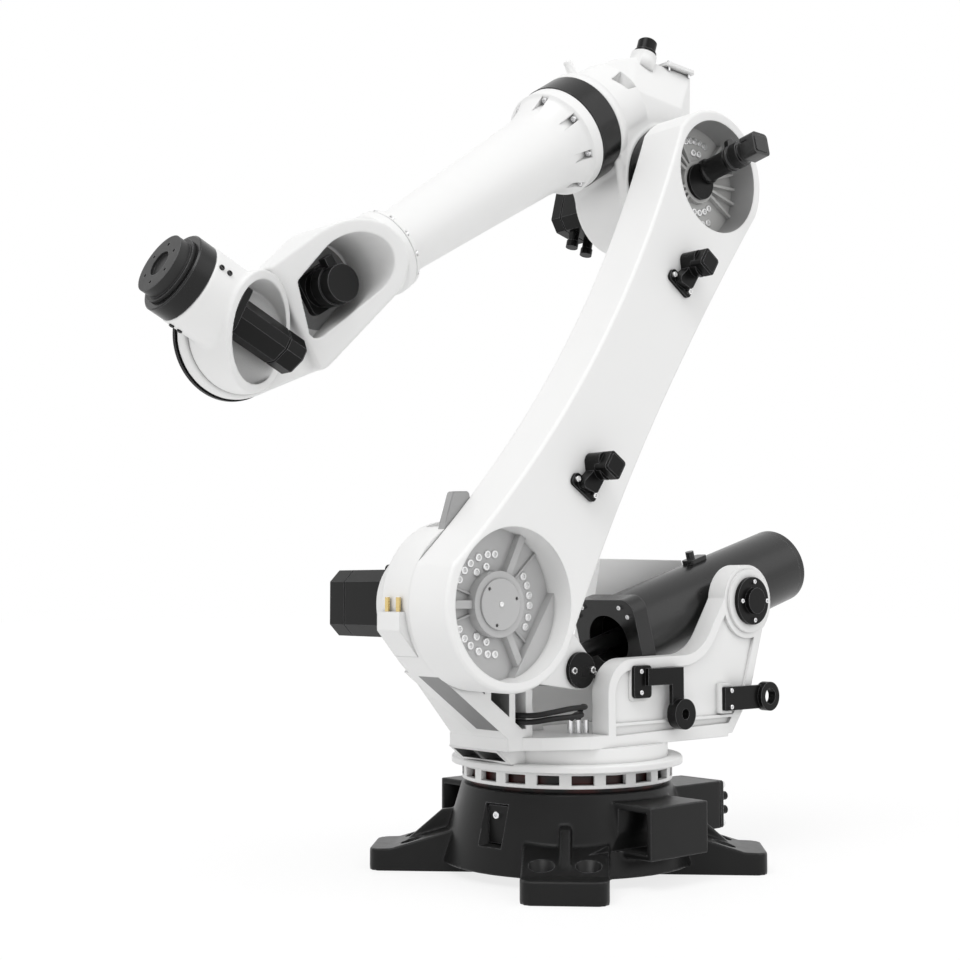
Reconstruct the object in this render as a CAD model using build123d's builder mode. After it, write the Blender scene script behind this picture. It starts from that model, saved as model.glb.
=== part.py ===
"""Heavy six-axis robot arm with a gas counterbalance behind the shoulder.

Millimetres. The origin is on the floor on the vertical first axis. +X is forward, +Z is up, and the
link arm stands on the +Y side. The arm is drawn in its rest pose: the link arm leans back and the
forearm slopes down in front. Most pieces are drawn on planes that lie across the arm, square to Y,
because the shoulder, elbow and wrist axes are all parallel to Y.
"""
import os
from math import asin, atan2, cos, degrees, hypot, pi, radians, sin, tan

from build123d import *

os.makedirs("parts", exist_ok=True)

# Clearances
turn_gap = 0.3           # between faces that turn past each other
pin_gap = 0.05           # radial running fit of a pin in its bush
hole_gap = 0.25          # round a screw in its hole
joint_gap = 3            # open gap between two castings that turn past each other
seat_gap = 0.1           # radial play of a unit in its bore

# Poses of the links at rest
shoulder_x = 450
shoulder_z = 700
link_length = 1390
link_lean = 33           # degrees back from upright
forearm_pitch = -33.7    # degrees above forward
forearm_offset = 267     # from the elbow axis up to the roll axis
wrist_reach = 1375       # from the elbow axis along the forearm
hand_pitch = 26

# Floor feet and base drum
foot_count = 4
foot_reach = 520
foot_width = 212
foot_thickness = 56
foot_corner = 32
foot_ramp_reach = 378
foot_rib_width = 44
foot_rib_reach = 470
foot_rib_height = 128
bolt_short = 250
bolt_long = 330
bolt_hole_radius = 13.5
bolt_face_radius = 24
bolt_face_depth = 4
drum_foot_radius = 340
drum_top_radius = 281
drum_lift = 25
drum_top = 226
drum_wall = 26
drum_plate = 20
lift_box_half = 106
lift_box_reach = 400
lift_box_low = 75
lift_box_high = 205
lift_box_wall = 16
lift_slot_inner = 322
lift_slot_low = 92
cover_azimuth = 8
cover_width = 66
cover_height = 96
cover_middle_height = 142
cover_recess = 14
cover_thickness = 5
panel_reach = 400
panel_near = 205
panel_far = 45
panel_low = 84
panel_high = 212
panel_thickness = 12
panel_wall = 24
gland_radius = 20
gland_length = 46

# Slewing ring
slew_plate_bottom = 280
slew_plate_thickness = 18
slew_plate_radius = 308
ring_radius = 280
ring_wall = 16
ring_bottom = 238
ring_window_count = 20
ring_window_width = 57
ring_window_low = 247
ring_window_high = 271
bearing_split_radius = 215
bearing_inner_wall = 55
bearing_outer_wall = 44

# First-axis drive
gearcase_radius = 236
gearcase_thickness = 34
gearbox_radius = 150
motor1_offset = 135
motor1_width = 96
motor1_length = 132
cable_bore = 70
spigot1_radius = 120

# Column
neck_radius = 269
deck_bottom = 336
deck_thickness = 32
deck_front = 345
deck_front_near = 105
deck_front_far = -80
housing_radius = 205
housing_near = 147
housing_far = 40
neck_rear = 262
rear_web_rear = 104
rear_web_far = -70
rear_web_near = 22
rear_web_radius = 138
pocket_depth = 84
pocket_edge = 46
rib_width = 20
ledge_reach = 220
ledge_low = -62
ledge_high = -17
ledge_near = 130
ledge_far = 42
lug_peak_height = 276
lug_width = 62
wall_near = 242
wall_thickness = 58
wall_front = 88
wall_top = 556
wall_panel_margin = 28
wall_panel_depth = 9
far_wall_top = 822
sleeve_radius = 8
sleeve_height = 34
hose_radius = 7

# Shoulder drive
gearbox2_radius = 150
gearbox2_length = 92
spigot_radius = 104
spigot_length = 22
motor_side = 172
motor_lip = 12
motor_groove = 4
motor_shaft_radius = 22
motor_shaft_length = 20
motor_chamfer = 30
motor2_end = -345
motor_flange_thickness = 18

# Link arm
arm_far = 150
arm_thickness = 140
shoulder_end_radius = 210
elbow_end_radius = 185
arm_edge = 10
recess_radius = 184
recess_depth = 82
elbow_recess_radius = 155
elbow_recess_depth = 84
hub_radius = 80
hub_height = 28
hub_cover_radius = 62
hub_cover_thickness = 5
elbow_hub_radius = 50
spoke_width = 20
spoke_height = 20
facet_offset = 138
facet_height = 24
elbow_hub_height = 14
lug_root_radius = 170
clamp_base = 9
clamp_rise = 46
guide_x = -27
guide_z = 33
guide_tilt = 11
guide_radius = 19
guide_length = 165
guide_head_width = 50
guide_head_depth = 46
outer_bolt_radius = 120
inner_bolt_radius = 92
elbow_outer_bolts = 117
elbow_inner_bolts = 84
back_pocket_start = 262
back_pocket_end = 1150
back_pocket_half = 128
back_pocket_depth = 84
back_rib_count = 5
back_rib_width = 16

# Counterbalance
balancer_y = 60
trunnion_x = -469
trunnion_z = 704
lug_pin_radius = 363     # from the shoulder axis to the counterbalance pin
lug_pin_angle = 207.8    # degrees above forward, about the shoulder axis
lug_radius = 50
lug_plate_near = 178
lug_boss_far = 95
pin_radius = 22
pin_flange_radius = 46
pin_flange_thickness = 12
rod_eye_radius = 46
rod_eye_width = 60
rod_radius = 24
rod_length = 700
rod_socket_radius = 33
rod_socket_length = 112
piston_radius = 58
piston_width = 32
barrel_radius = 110
barrel_wall = 7
barrel_front = 330
barrel_rear = -347
front_cap_length = 52
front_cap_half = 114
front_cap_corner = 40
front_cap_bore = 70
rear_cap_length = 26
trunnion_boss_radius = 54
trunnion_boss_reach = 119
trunnion_radius = 30
trunnion_seat = 14
bush_radius = 38
wall_boss_radius = 100
wall_boss_height = 8
cap_radius = 66
cap_thickness = 12
cap_screw = 8
cap_screw_length = 26
cap_hub_radius = 36
cap_hub_height = 14
valve_spot = -20

# Elbow
elbow_near = 118
elbow_far = -120
elbow_far_radius = 150
elbow_ring_radius = 176
gearbox3_radius = 148
gearbox3_end = 22
motor3_side = 150
motor3_end = -290
roll_case_radius = 150
roll_case_rear = -70
roll_case_front = 128
band_radius = 148
band_front = 208
roll_rim = 28
gearbox4_radius = 112
gearbox4_length = 88
forearm_spigot = 70
forearm_spigot_length = 28
motor3_pitch = 14
motor3_plug_y = -230
elbow_cap_y = 30
elbow_cap_pitch = 18
elbow_cap_setback = 40
rear_cover_setback = 108
elbow_cap_radius = 28
elbow_cap_height = 48
rear_cover_thickness = 10
rear_cover_depth = 60
rear_cover_y = -14

# Forearm
tube_flange_radius = 146
tube_flange_end = 250
tube_flare_end = 362
tube_rear_radius = 107
tube_front_radius = 86
tube_front = 868
tube_wall = 12
flare_bolt_radius = 130
wrist_screw = 10
wrist_screw_length = 52
wrist_flange_radius = 122
wrist_flange_thickness = 34
wrist_flange_end = 936
wrist_half_height = 140
wrist_rear = 1062
pocket_rear_radius = 74
pocket_front_wall = 14
rim_rear_reach = 985
motor5_reach = 1112
motor5_rise = 262
motor5_length = 112
hand_pin_radius = 40
hand_wing_y = 112
fork_near = -85
fork_thickness = 36
fork_radius = 145
wrist_cover_radius = 148
wrist_cover_thickness = 12
hand_sweep = 145         # the hand and its motor turn inside this radius
rim_rear_y = 118
rim_front_y = -8
motor5_radius = 46
motor5_side = 104

# Hand
hand_radius = 138
hand_wall = 13
hand_floor = 16
hand_cut_angle = 24
hand_cut_near = 4
neck_tube_radius = 100
neck_tube_end = 205
neck_cut_reach = 210       # past the end of the neck, so that it clears the fork
roll_ring_radius = 98
roll_ring_thickness = 45
tool_step_radius = 73
tool_step_thickness = 35
tool_spigot = 45
tool_spigot_length = 16
tool_bore_radius = 31.5
tool_bore_depth = 8
tool_bolt_radius = 50
tool_bolt_count = 6
tool_bolt_hole = 4.25
tool_bolt_depth = 15
motor6_width = 96
motor6_height = 88
motor6_rear = -112
motor6_seat = 100
neck_wall = 18
gearbox6_radius = 72


# Frames of the pieces

def cosd(angle):
    return cos(radians(angle))


def sind(angle):
    return sin(radians(angle))


def along(origin, pitch, distance, rise=0):
    """Point (x, z) that lies `distance` along a line `pitch` degrees above forward, `rise` above it."""
    x = origin[0] + distance * cosd(pitch) - rise * sind(pitch)
    z = origin[1] + distance * sind(pitch) + rise * cosd(pitch)
    return x, z


def side(origin, pitch, y):
    """Plane across the arm at depth y. Its x runs `pitch` degrees above forward and it faces -Y."""
    return Plane(origin=(origin[0], y, origin[1]), x_dir=(cosd(pitch), 0, sind(pitch)), z_dir=(0, -1, 0))


def facing(origin, pitch, y):
    """Plane across the arm at depth y that faces +Y, for what stands on a near face."""
    return Plane(origin=(origin[0], y, origin[1]), x_dir=(cosd(pitch), 0, sind(pitch)), z_dir=(0, 1, 0))


def axial(origin, pitch, distance, rise=0, y=0):
    """Plane square to a line `pitch` degrees above forward. Its x is +Y and its y is up."""
    x, z = along(origin, pitch, distance, rise)
    return Plane(origin=(x, y, z), x_dir=(0, 1, 0), z_dir=(cosd(pitch), 0, sind(pitch)))


def above(origin, pitch, distance, rise, y):
    """Plane that faces up from a line `pitch` degrees above forward. Its x runs along the line."""
    x, z = along(origin, pitch, distance, rise)
    return Plane(origin=(x, y, z), x_dir=(cosd(pitch), 0, sind(pitch)), z_dir=(-sind(pitch), 0, cosd(pitch)))


def tangent_point(point, centre, radius, turn):
    """Where a line from the point touches the circle, on the side given by turn, 1 or -1."""
    reach = hypot(centre[0] - point[0], centre[1] - point[1])
    heading = atan2(centre[1] - point[1], centre[0] - point[0])
    bend = asin(radius / reach)
    length = reach * cos(bend)
    return point[0] + length * cos(heading + turn * bend), point[1] + length * sin(heading + turn * bend)


link_pitch = 90 + link_lean
shoulder = (shoulder_x, shoulder_z)
elbow = along(shoulder, link_pitch, link_length)
wrist = along(elbow, forearm_pitch, wrist_reach, forearm_offset)
lug_pin = along(shoulder, lug_pin_angle, lug_pin_radius)
trunnion = (trunnion_x, trunnion_z)
balancer_pitch = degrees(atan2(lug_pin[1] - trunnion[1], lug_pin[0] - trunnion[0]))
arm_near = arm_far + arm_thickness
ring_face = neck_tube_end + roll_ring_thickness
tool_face = ring_face + tool_step_thickness
slew_plate_top = slew_plate_bottom + slew_plate_thickness
deck_top = deck_bottom + deck_thickness


def write_piece(piece, node):
    """Name a finished piece and write it to its own file."""
    piece.label = node
    export_step(piece, f"parts/{node}.step")


# Screws

def socket_screw(thread, length):
    """Socket head screw: head from z = 0 up, shank down."""
    with BuildPart() as screw:
        Cylinder(thread * 0.8, thread, align=(Align.CENTER, Align.CENTER, Align.MIN))
        chamfer(screw.faces().sort_by(Axis.Z)[-1].edges(), thread * 0.12)
        Cylinder(thread / 2, length, align=(Align.CENTER, Align.CENTER, Align.MAX))
        with BuildSketch(Plane.XY.offset(thread)):
            RegularPolygon(thread * 0.46, 6)
        extrude(amount=-thread * 0.55, mode=Mode.SUBTRACT)
    return screw.part


def screw_group(places, thread, length):
    """Identical screws, one on each place, as a group of separate solids."""
    one_screw = socket_screw(thread, length)
    with BuildPart() as group:
        with Locations(*places):
            add(one_screw)
    return group.part


def drill(places, thread, length):
    """Cut the holes for such screws into the open part."""
    with Locations(*places):
        Hole(thread / 2 + hole_gap, length + hole_gap)


def ring_places(plane, radius, angles):
    """Places on a circle in the plane, at angles in degrees from its x."""
    return [plane * Pos(radius * cosd(angle), radius * sind(angle)) for angle in angles]


# Screw places that several pieces share
base_screw = 12
base_screw_length = 22
hub_screw = 12
hub_screw_length = 26
clamp_screw = 8
clamp_screw_length = 22
gearcase_screw_length = 50

cover_plane = Plane(
    origin=(0, 0, cover_middle_height),
    x_dir=(-sind(cover_azimuth), cosd(cover_azimuth), 0),
    z_dir=(cosd(cover_azimuth), sind(cover_azimuth), 0),
)
drum_slope = (drum_foot_radius - drum_top_radius) / (drum_top - drum_lift)


def drum_radius(height):
    """Outer radius of the base drum at a height."""
    return drum_foot_radius - drum_slope * (height - drum_lift)


cover_seat = drum_radius(cover_middle_height + cover_height / 2) - cover_recess


panel_width = panel_near - panel_far
panel_height = panel_high - panel_low
panel_face = Plane(
    origin=(-panel_reach, (panel_near + panel_far) / 2, (panel_low + panel_high) / 2),
    x_dir=(0, -1, 0),
    z_dir=(-1, 0, 0),
)


def panel_places():
    """Screws at the corners of the connector panel."""
    inset = panel_wall / 2
    across = panel_width / 2 - inset
    rise = panel_height / 2 - inset
    return [panel_face * Pos(x * across, y * rise) for x in (1, -1) for y in (1, -1)]


def servo_motor(seat, width, height, length, shaft_radius, shaft_length):
    """Servo motor on its seat: the body stands up from the plane and the shaft goes down into it."""
    cap_length = length * 0.24
    with BuildPart() as motor:
        with BuildSketch(seat):
            RectangleRounded(width + 2 * motor_lip, height + 2 * motor_lip, motor_lip)
        extrude(amount=motor_flange_thickness)
        with BuildSketch(seat.offset(motor_flange_thickness)) as waist:
            Rectangle(width - 2 * motor_groove, height - 2 * motor_groove)
            chamfer(waist.vertices(), motor_chamfer - motor_groove)
        extrude(amount=length - motor_flange_thickness)
        with BuildSketch(seat.offset(motor_flange_thickness + motor_groove)) as body:
            Rectangle(width, height)
            chamfer(body.vertices(), motor_chamfer)
        extrude(amount=length - motor_flange_thickness - cap_length - 2 * motor_groove)
        with BuildSketch(seat.offset(length - cap_length)) as cap:
            Rectangle(width, height)
            chamfer(cap.vertices(), motor_chamfer)
        extrude(amount=cap_length)
        chamfer(motor.faces().sort_by(Axis(seat.origin, seat.z_dir))[-1].edges(), motor_groove)
        with BuildSketch(seat):
            Circle(shaft_radius)
        extrude(amount=-shaft_length)
    return motor.part


# Base casting: tapered drum, four feet and a lifting pocket on each side

def base_casting_part():
    inner_top = drum_top_radius - drum_wall
    inner_foot = drum_foot_radius - drum_wall
    with BuildPart() as base_casting:
        with BuildSketch(Plane.XZ):
            with BuildLine():
                Polyline(
                    (0, drum_lift),
                    (drum_foot_radius, drum_lift),
                    (drum_top_radius, drum_top),
                    (0, drum_top),
                    close=True,
                )
            make_face()
        revolve(axis=Axis.Z)
        with BuildSketch():
            with PolarLocations(foot_reach / 2, foot_count, start_angle=45):
                Rectangle(foot_reach, foot_width)
        extrude(amount=foot_thickness)
        tips = base_casting.edges().filter_by(Axis.Z).filter_by(
            lambda edge: hypot(edge.center().X, edge.center().Y) > foot_reach * 0.98
        )
        fillet(tips, foot_corner)
        for index in range(foot_count):
            azimuth = 45 + index * 360 / foot_count
            radial = Plane(
                origin=(0, 0, 0),
                x_dir=(cosd(azimuth), sind(azimuth), 0),
                z_dir=(sind(azimuth), -cosd(azimuth), 0),
            )
            with BuildSketch(radial):
                Polygon(
                    (inner_foot, foot_thickness / 2),
                    (foot_ramp_reach, foot_thickness),
                    (drum_foot_radius, foot_thickness * 1.5),
                    (inner_foot, foot_thickness * 1.9),
                    align=None,
                )
            extrude(amount=foot_width / 2 - foot_corner, both=True)
            with BuildSketch(radial):
                Polygon(
                    (inner_foot, foot_thickness / 2),
                    (foot_rib_reach, foot_thickness / 2),
                    (foot_rib_reach, foot_thickness + 2),
                    (drum_foot_radius, foot_rib_height),
                    (inner_top, foot_rib_height),
                    align=None,
                )
            extrude(amount=foot_rib_width / 2, both=True)
        for hand in (1, -1):
            with BuildSketch(Plane.XY.offset(lift_box_low)):
                with Locations((0, hand * (lift_box_reach + inner_top) / 2)):
                    Rectangle(2 * lift_box_half, lift_box_reach - inner_top)
            extrude(amount=lift_box_high - lift_box_low)
        with BuildSketch(panel_face.offset(-panel_thickness)):
            Rectangle(panel_width, panel_height)
        extrude(amount=-(panel_reach - panel_thickness - inner_top))
        with BuildSketch(Plane.XZ):
            with BuildLine():
                Polyline(
                    (0, 0),
                    (inner_foot, 0),
                    (inner_foot, drum_lift),
                    (inner_top, drum_top - drum_plate),
                    (0, drum_top - drum_plate),
                    close=True,
                )
            make_face()
        revolve(axis=Axis.Z, mode=Mode.SUBTRACT)
        for hand in (1, -1):
            slot_width = lift_box_reach - lift_box_wall - lift_slot_inner
            slot_height = lift_box_high - lift_box_wall - lift_slot_low
            slot_y = hand * (lift_slot_inner + slot_width / 2)
            with BuildSketch(Plane.YZ.offset(-lift_box_half)):
                with Locations((slot_y, lift_slot_low + slot_height / 2)):
                    RectangleRounded(slot_width, slot_height, 8)
            extrude(amount=2 * lift_box_half, mode=Mode.SUBTRACT)
        with Locations((0, 0, drum_top)):
            Hole(gearbox_radius + turn_gap, drum_plate + turn_gap)
        with BuildSketch(cover_plane.offset(cover_seat)):
            RectangleRounded(cover_width + 8, cover_height + 8, 6)
        extrude(amount=drum_foot_radius - cover_seat, mode=Mode.SUBTRACT)
        drill([cover_plane.offset(cover_seat) * Pos(0, cover_height / 4)], base_screw, base_screw_length - 8)
        drill(gearcase_places(), base_screw, gearcase_screw_length)
        floor_bolts = [(x * bolt_short, y * bolt_long) for x in (1, -1) for y in (1, -1)]
        floor_bolts += [(x * bolt_long, y * bolt_short) for x in (1, -1) for y in (1, -1)]
        with Locations(*[(x, y, foot_thickness) for x, y in floor_bolts]):
            CounterBoreHole(bolt_hole_radius, bolt_face_radius, bolt_face_depth, foot_thickness)
        with BuildSketch(panel_face.offset(-panel_thickness)):
            Rectangle(panel_width - 2 * panel_wall, panel_height - 2 * panel_wall)
        extrude(amount=-(panel_reach - panel_thickness - drum_top_radius * 0.6), mode=Mode.SUBTRACT)
        drill(panel_places(), base_screw, base_screw_length)
    return base_casting.part


def gearcase_places():
    """Screws that hold the first-axis gear case up against the base plate, heads below."""
    below = Plane(origin=(0, 0, drum_top - drum_plate - gearcase_thickness), z_dir=(0, 0, -1))
    return ring_places(below, gearcase_radius - 14, [15 + 30 * index for index in range(12)])



write_piece(base_casting_part(), "base_casting")

with BuildPart() as base_inspection_cover:
    with BuildSketch(cover_plane.offset(cover_seat)):
        RectangleRounded(cover_width, cover_height, 5)
    extrude(amount=cover_thickness)
    drill([cover_plane.offset(cover_seat + cover_thickness) * Pos(0, cover_height / 4)], base_screw, cover_thickness)
write_piece(base_inspection_cover.part, "base_inspection_cover")

with BuildPart() as connector_panel:
    with BuildSketch(panel_face):
        RectangleRounded(panel_width, panel_height, 8)
    extrude(amount=-panel_thickness)
    drill(panel_places(), base_screw, panel_thickness)
write_piece(connector_panel.part, "connector_panel")

with BuildPart() as connector_glands:
    gland_spots = [(-45, 16), (-45, -22), (0, 16), (0, -22), (40, 0)]
    with BuildSketch(panel_face):
        with Locations(*gland_spots):
            RegularPolygon(gland_radius * 0.8, 6)
    extrude(amount=gland_length * 0.3)
    with BuildSketch(panel_face):
        with Locations(*gland_spots):
            Circle(gland_radius * 0.6)
    extrude(amount=gland_length)
    with BuildSketch(panel_face.offset(gland_length)):
        with Locations(*gland_spots):
            Circle(gland_radius * 0.3)
    extrude(amount=-gland_length * 0.4, mode=Mode.SUBTRACT)
write_piece(connector_glands.part, "connector_glands")

# Slewing bearing, split between the base and the column
with BuildPart() as slew_bearing_outer:
    with BuildSketch(Plane.XY.offset(drum_top)):
        Circle(bearing_split_radius + bearing_outer_wall)
        Circle(bearing_split_radius + turn_gap / 2, mode=Mode.SUBTRACT)
    extrude(amount=slew_plate_bottom - drum_top - joint_gap)
write_piece(slew_bearing_outer.part, "slew_bearing_outer")

with BuildPart() as slew_bearing_inner:
    with BuildSketch(Plane.XY.offset(slew_plate_bottom)):
        Circle(bearing_split_radius - turn_gap / 2)
        Circle(bearing_split_radius - bearing_inner_wall, mode=Mode.SUBTRACT)
    extrude(amount=-(slew_plate_bottom - drum_top - joint_gap))
write_piece(slew_bearing_inner.part, "slew_bearing_inner")

with BuildPart() as slew_ring:
    with BuildSketch(Plane.XY.offset(slew_plate_bottom)):
        Circle(ring_radius)
        Circle(ring_radius - ring_wall, mode=Mode.SUBTRACT)
    extrude(amount=-(slew_plate_bottom - ring_bottom))
    with BuildSketch(Plane.XY.offset(ring_window_low)):
        with PolarLocations(ring_radius - ring_wall / 2, ring_window_count):
            Rectangle(2 * ring_wall, ring_window_width)
    extrude(amount=ring_window_high - ring_window_low, mode=Mode.SUBTRACT)
write_piece(slew_ring.part, "slew_ring")

# First-axis drive, hung below the base plate
plate_bottom = drum_top - drum_plate
gearbox1_top = drum_top + joint_gap * 3
with BuildPart() as axis1_gearbox:
    with BuildSketch(Plane.XY.offset(plate_bottom)):
        Circle(gearcase_radius)
    extrude(amount=-gearcase_thickness)
    with BuildSketch(Plane.XY.offset(plate_bottom)):
        Circle(gearbox_radius)
    extrude(amount=gearbox1_top - plate_bottom)
    Hole(cable_bore)
    drill(gearcase_places(), base_screw, gearcase_screw_length)
    with Locations((-motor1_offset, 0, plate_bottom - gearcase_thickness)):
        Hole(motor_shaft_radius + seat_gap, motor_shaft_length + 2)
write_piece(axis1_gearbox.part, "axis1_gearbox")

motor1_seat = Plane(
    origin=(-motor1_offset, 0, plate_bottom - gearcase_thickness), x_dir=(1, 0, 0), z_dir=(0, 0, -1)
)
axis1_motor = servo_motor(
    motor1_seat, motor1_width, motor1_width, motor1_length, motor_shaft_radius, motor_shaft_length
)
write_piece(axis1_motor, "axis1_motor")

cover_places = [cover_plane.offset(cover_seat + cover_thickness) * Pos(0, cover_height / 4)]
with BuildPart() as base_screws:
    add(screw_group(cover_places, base_screw, base_screw_length - 8))
    add(screw_group(gearcase_places(), base_screw, gearcase_screw_length))
    add(screw_group(panel_places(), base_screw, base_screw_length))
write_piece(base_screws.part, "base_screws")


# Column casting

def across(y):
    """Plane across the arm at depth y, in world x and z. It faces -Y."""
    return side((0, 0), 0, y)


def level(origin, y, radius, angles):
    """Places on a circle on a near face, at angles in degrees above forward. They face +Y."""
    return [facing(origin, 0, y) * Pos(radius * cosd(angle), -radius * sind(angle)) for angle in angles]


def near_wall_outline():
    """Closed outline of the near cradle wall."""
    FilletPolyline(
        (wall_front, deck_bottom),
        (wall_front, wall_top),
        (-268, 562),
        (trunnion_x + 94, trunnion_z + 16),
        (trunnion_x - 91, trunnion_z + 8),
        (trunnion_x - 1, trunnion_z - 264),
        (-395, deck_bottom + 9),
        radius=[4, 90, 130, 4, 4, 40, 4],
        close=True,
    )


wall_far = wall_near - wall_thickness
far_wall_near = 2 * balancer_y - wall_far
far_wall_far = far_wall_near - wall_thickness
wall_boss_near = wall_near + wall_boss_height
far_boss_far = far_wall_far - wall_boss_height
gearbox2_end = housing_near - gearbox2_length
lug_seat = 188
hoist_lug_y = 122
neck_front = tangent_point((deck_front, deck_top), shoulder, housing_radius, -1)
neck_heading = degrees(atan2(neck_front[1] - deck_top, neck_front[0] - deck_front))
neck_length = hypot(neck_front[0] - deck_front, neck_front[1] - deck_top)
pocket_start = along((deck_front, deck_top), neck_heading, 0, pocket_edge)
pocket_end = along((deck_front, deck_top), neck_heading, neck_length, pocket_edge)
web_front = tangent_point((deck_front, deck_top), shoulder, rear_web_radius, -1)
web_rear = tangent_point((rear_web_rear, deck_top), shoulder, rear_web_radius, 1)
cap_places = level(trunnion, wall_boss_near + cap_thickness, cap_radius - 13, [0, 90, 180, 270])
far_cap_places = [
    side(trunnion, 0, far_boss_far - cap_thickness) * Pos((cap_radius - 13) * cosd(a), (cap_radius - 13) * sind(a))
    for a in (0, 90, 180, 270)
]
motor2_seat = side(shoulder, 0, rear_web_far)
sleeve_spots = [(117, 133), (102, 147), (86, 160)]
saddle_plane = facing((-30, 498), 0, wall_near)
saddle_places = [saddle_plane.offset(10) * Pos(x, y) for x in (12,) for y in (-27, 27)]
ring_bracket_plane = facing((-360, 440), 0, wall_near + 12)
ring_bracket_places = [ring_bracket_plane.offset(12) * Pos(0, y) for y in (-22, 22)]

with BuildPart() as column_casting:
    with BuildSketch(Plane.XY.offset(slew_plate_bottom)):
        Circle(slew_plate_radius)
    extrude(amount=slew_plate_thickness)
    chamfer(column_casting.faces().sort_by(Axis.Z)[-1].edges(), 4)
    with BuildSketch(Plane.XY.offset(slew_plate_bottom)):
        Circle(neck_radius)
    extrude(amount=deck_bottom - slew_plate_bottom)
    with BuildSketch(Plane.XY.offset(slew_plate_bottom)):
        Circle(spigot1_radius)
    extrude(amount=-(slew_plate_bottom - gearbox1_top - turn_gap))
    with BuildSketch(Plane.XY.offset(deck_bottom)) as deck:
        Polygon(
            (deck_front, deck_front_far),
            (deck_front, deck_front_near),
            (260, 180),
            (150, wall_near),
            (-385, wall_near),
            (-385, far_wall_far),
            (150, far_wall_far),
            (260, -100),
            align=None,
        )
        fillet(deck.vertices(), 10)
    extrude(amount=deck_thickness)
    with BuildSketch(across(deck_front_near)):
        Polygon((240, 298), (296, 298), (deck_front, deck_bottom), (240, deck_bottom), align=None)
    extrude(amount=deck_front_near - deck_front_far)
    for far, near in ((-70, 6), (18, 94)):
        with BuildSketch(across(near)):
            Polygon((258, 306), (330, 306), (362, 329), (258, 329), align=None)
        extrude(amount=near - far, mode=Mode.SUBTRACT)
    # Neck and shoulder housing
    with BuildSketch(across(housing_near)):
        Polygon(
            (neck_rear, deck_bottom),
            (deck_front, deck_bottom),
            (deck_front, deck_top),
            neck_front,
            shoulder,
            (neck_rear, shoulder_z - 82),
            align=None,
        )
    extrude(amount=housing_near - rear_web_near)
    with BuildSketch(side(shoulder, 0, housing_near)):
        Circle(housing_radius)
    extrude(amount=housing_near - housing_far)
    with BuildSketch(side(shoulder, 0, housing_far + 6)):
        Circle(rear_web_radius)
    extrude(amount=housing_far + 6 - rear_web_far)
    with BuildSketch(across(rear_web_near)):
        Polygon(
            (rear_web_rear, deck_bottom),
            (deck_front, deck_bottom),
            (deck_front, deck_top),
            web_front,
            shoulder,
            web_rear,
            (rear_web_rear, deck_top),
            align=None,
        )
    extrude(amount=rear_web_near - rear_web_far)
    # Pockets in the near face of the neck
    with BuildSketch(across(housing_near)):
        Polygon(
            (neck_rear + 23, deck_top + 22),
            (pocket_start[0] - 20, deck_top + 22),
            pocket_start,
            pocket_end,
            shoulder,
            (neck_rear + 23, shoulder_z - 82),
            align=None,
        )
        with Locations(shoulder):
            Circle(housing_radius + 6, mode=Mode.SUBTRACT)
        with Locations(*[(x, deck_top + 100) for x in (410, 330)]):
            Rectangle(rib_width, 400, mode=Mode.SUBTRACT)
    extrude(amount=pocket_depth, mode=Mode.SUBTRACT)
    # Seats of the second-axis drive
    with BuildSketch(side(shoulder, 0, housing_near)):
        Circle(gearbox2_radius + seat_gap)
    extrude(amount=gearbox2_length, mode=Mode.SUBTRACT)
    with BuildSketch(side(shoulder, 0, housing_near)):
        Circle(motor_shaft_radius + joint_gap)
    extrude(amount=housing_near - rear_web_far, mode=Mode.SUBTRACT)
    # Ledge for the levelling bolts
    with BuildSketch(side(shoulder, 0, ledge_near)):
        Polygon((150, ledge_high), (ledge_reach, ledge_high), (ledge_reach, ledge_low), (165, -125), align=None)
    extrude(amount=ledge_near - ledge_far)
    with BuildSketch(side(shoulder, 0, housing_near)):
        Circle(gearbox2_radius + seat_gap)
    extrude(amount=gearbox2_length, mode=Mode.SUBTRACT)
    # Flat seat of the hoist lug
    with BuildSketch(side(shoulder, 0, hoist_lug_y + 6)):
        with Locations((38, lug_seat + 30)):
            Rectangle(100, 60)
    extrude(amount=lug_width + 12, mode=Mode.SUBTRACT)
    # Cradle walls of the counterbalance
    with BuildSketch(across(wall_near)):
        with BuildLine():
            near_wall_outline()
        make_face()
        with Locations(trunnion):
            Circle(wall_boss_radius)
    extrude(amount=wall_thickness)
    with BuildSketch(across(wall_near)):
        with BuildLine():
            near_wall_outline()
        make_face()
        offset(amount=-wall_panel_margin)
        with Locations(trunnion):
            Circle(wall_boss_radius + 4, mode=Mode.SUBTRACT)
        with Locations((-150, deck_top + 24)):
            Rectangle(600, 8, mode=Mode.SUBTRACT)
    extrude(amount=wall_panel_depth, mode=Mode.SUBTRACT)
    with BuildSketch(side(trunnion, 0, wall_boss_near)):
        Circle(wall_boss_radius - 12)
    extrude(amount=wall_boss_height + wall_panel_depth)
    with BuildSketch(across(far_wall_near)):
        Polygon(
            (90, deck_bottom),
            (90, 480),
            (-150, 600),
            (-200, far_wall_top),
            (-540, far_wall_top),
            (-580, 720),
            (-451, 417),
            (-385, deck_bottom + 9),
            align=None,
        )
    extrude(amount=wall_thickness)
    with BuildSketch(side(trunnion, 0, far_wall_far)):
        Circle(wall_boss_radius - 12)
    extrude(amount=wall_boss_height)
    with BuildSketch(side(trunnion, 0, wall_boss_near)):
        Circle(bush_radius + seat_gap)
    extrude(amount=wall_boss_near - far_boss_far, mode=Mode.SUBTRACT)
    # Pads under the hose holders
    with BuildSketch(ring_bracket_plane):
        Rectangle(40, 80)
    extrude(amount=-12 - wall_panel_depth)
    with BuildSketch(saddle_plane):
        RectangleRounded(70, 96, 8)
    extrude(amount=-wall_panel_depth)
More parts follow.
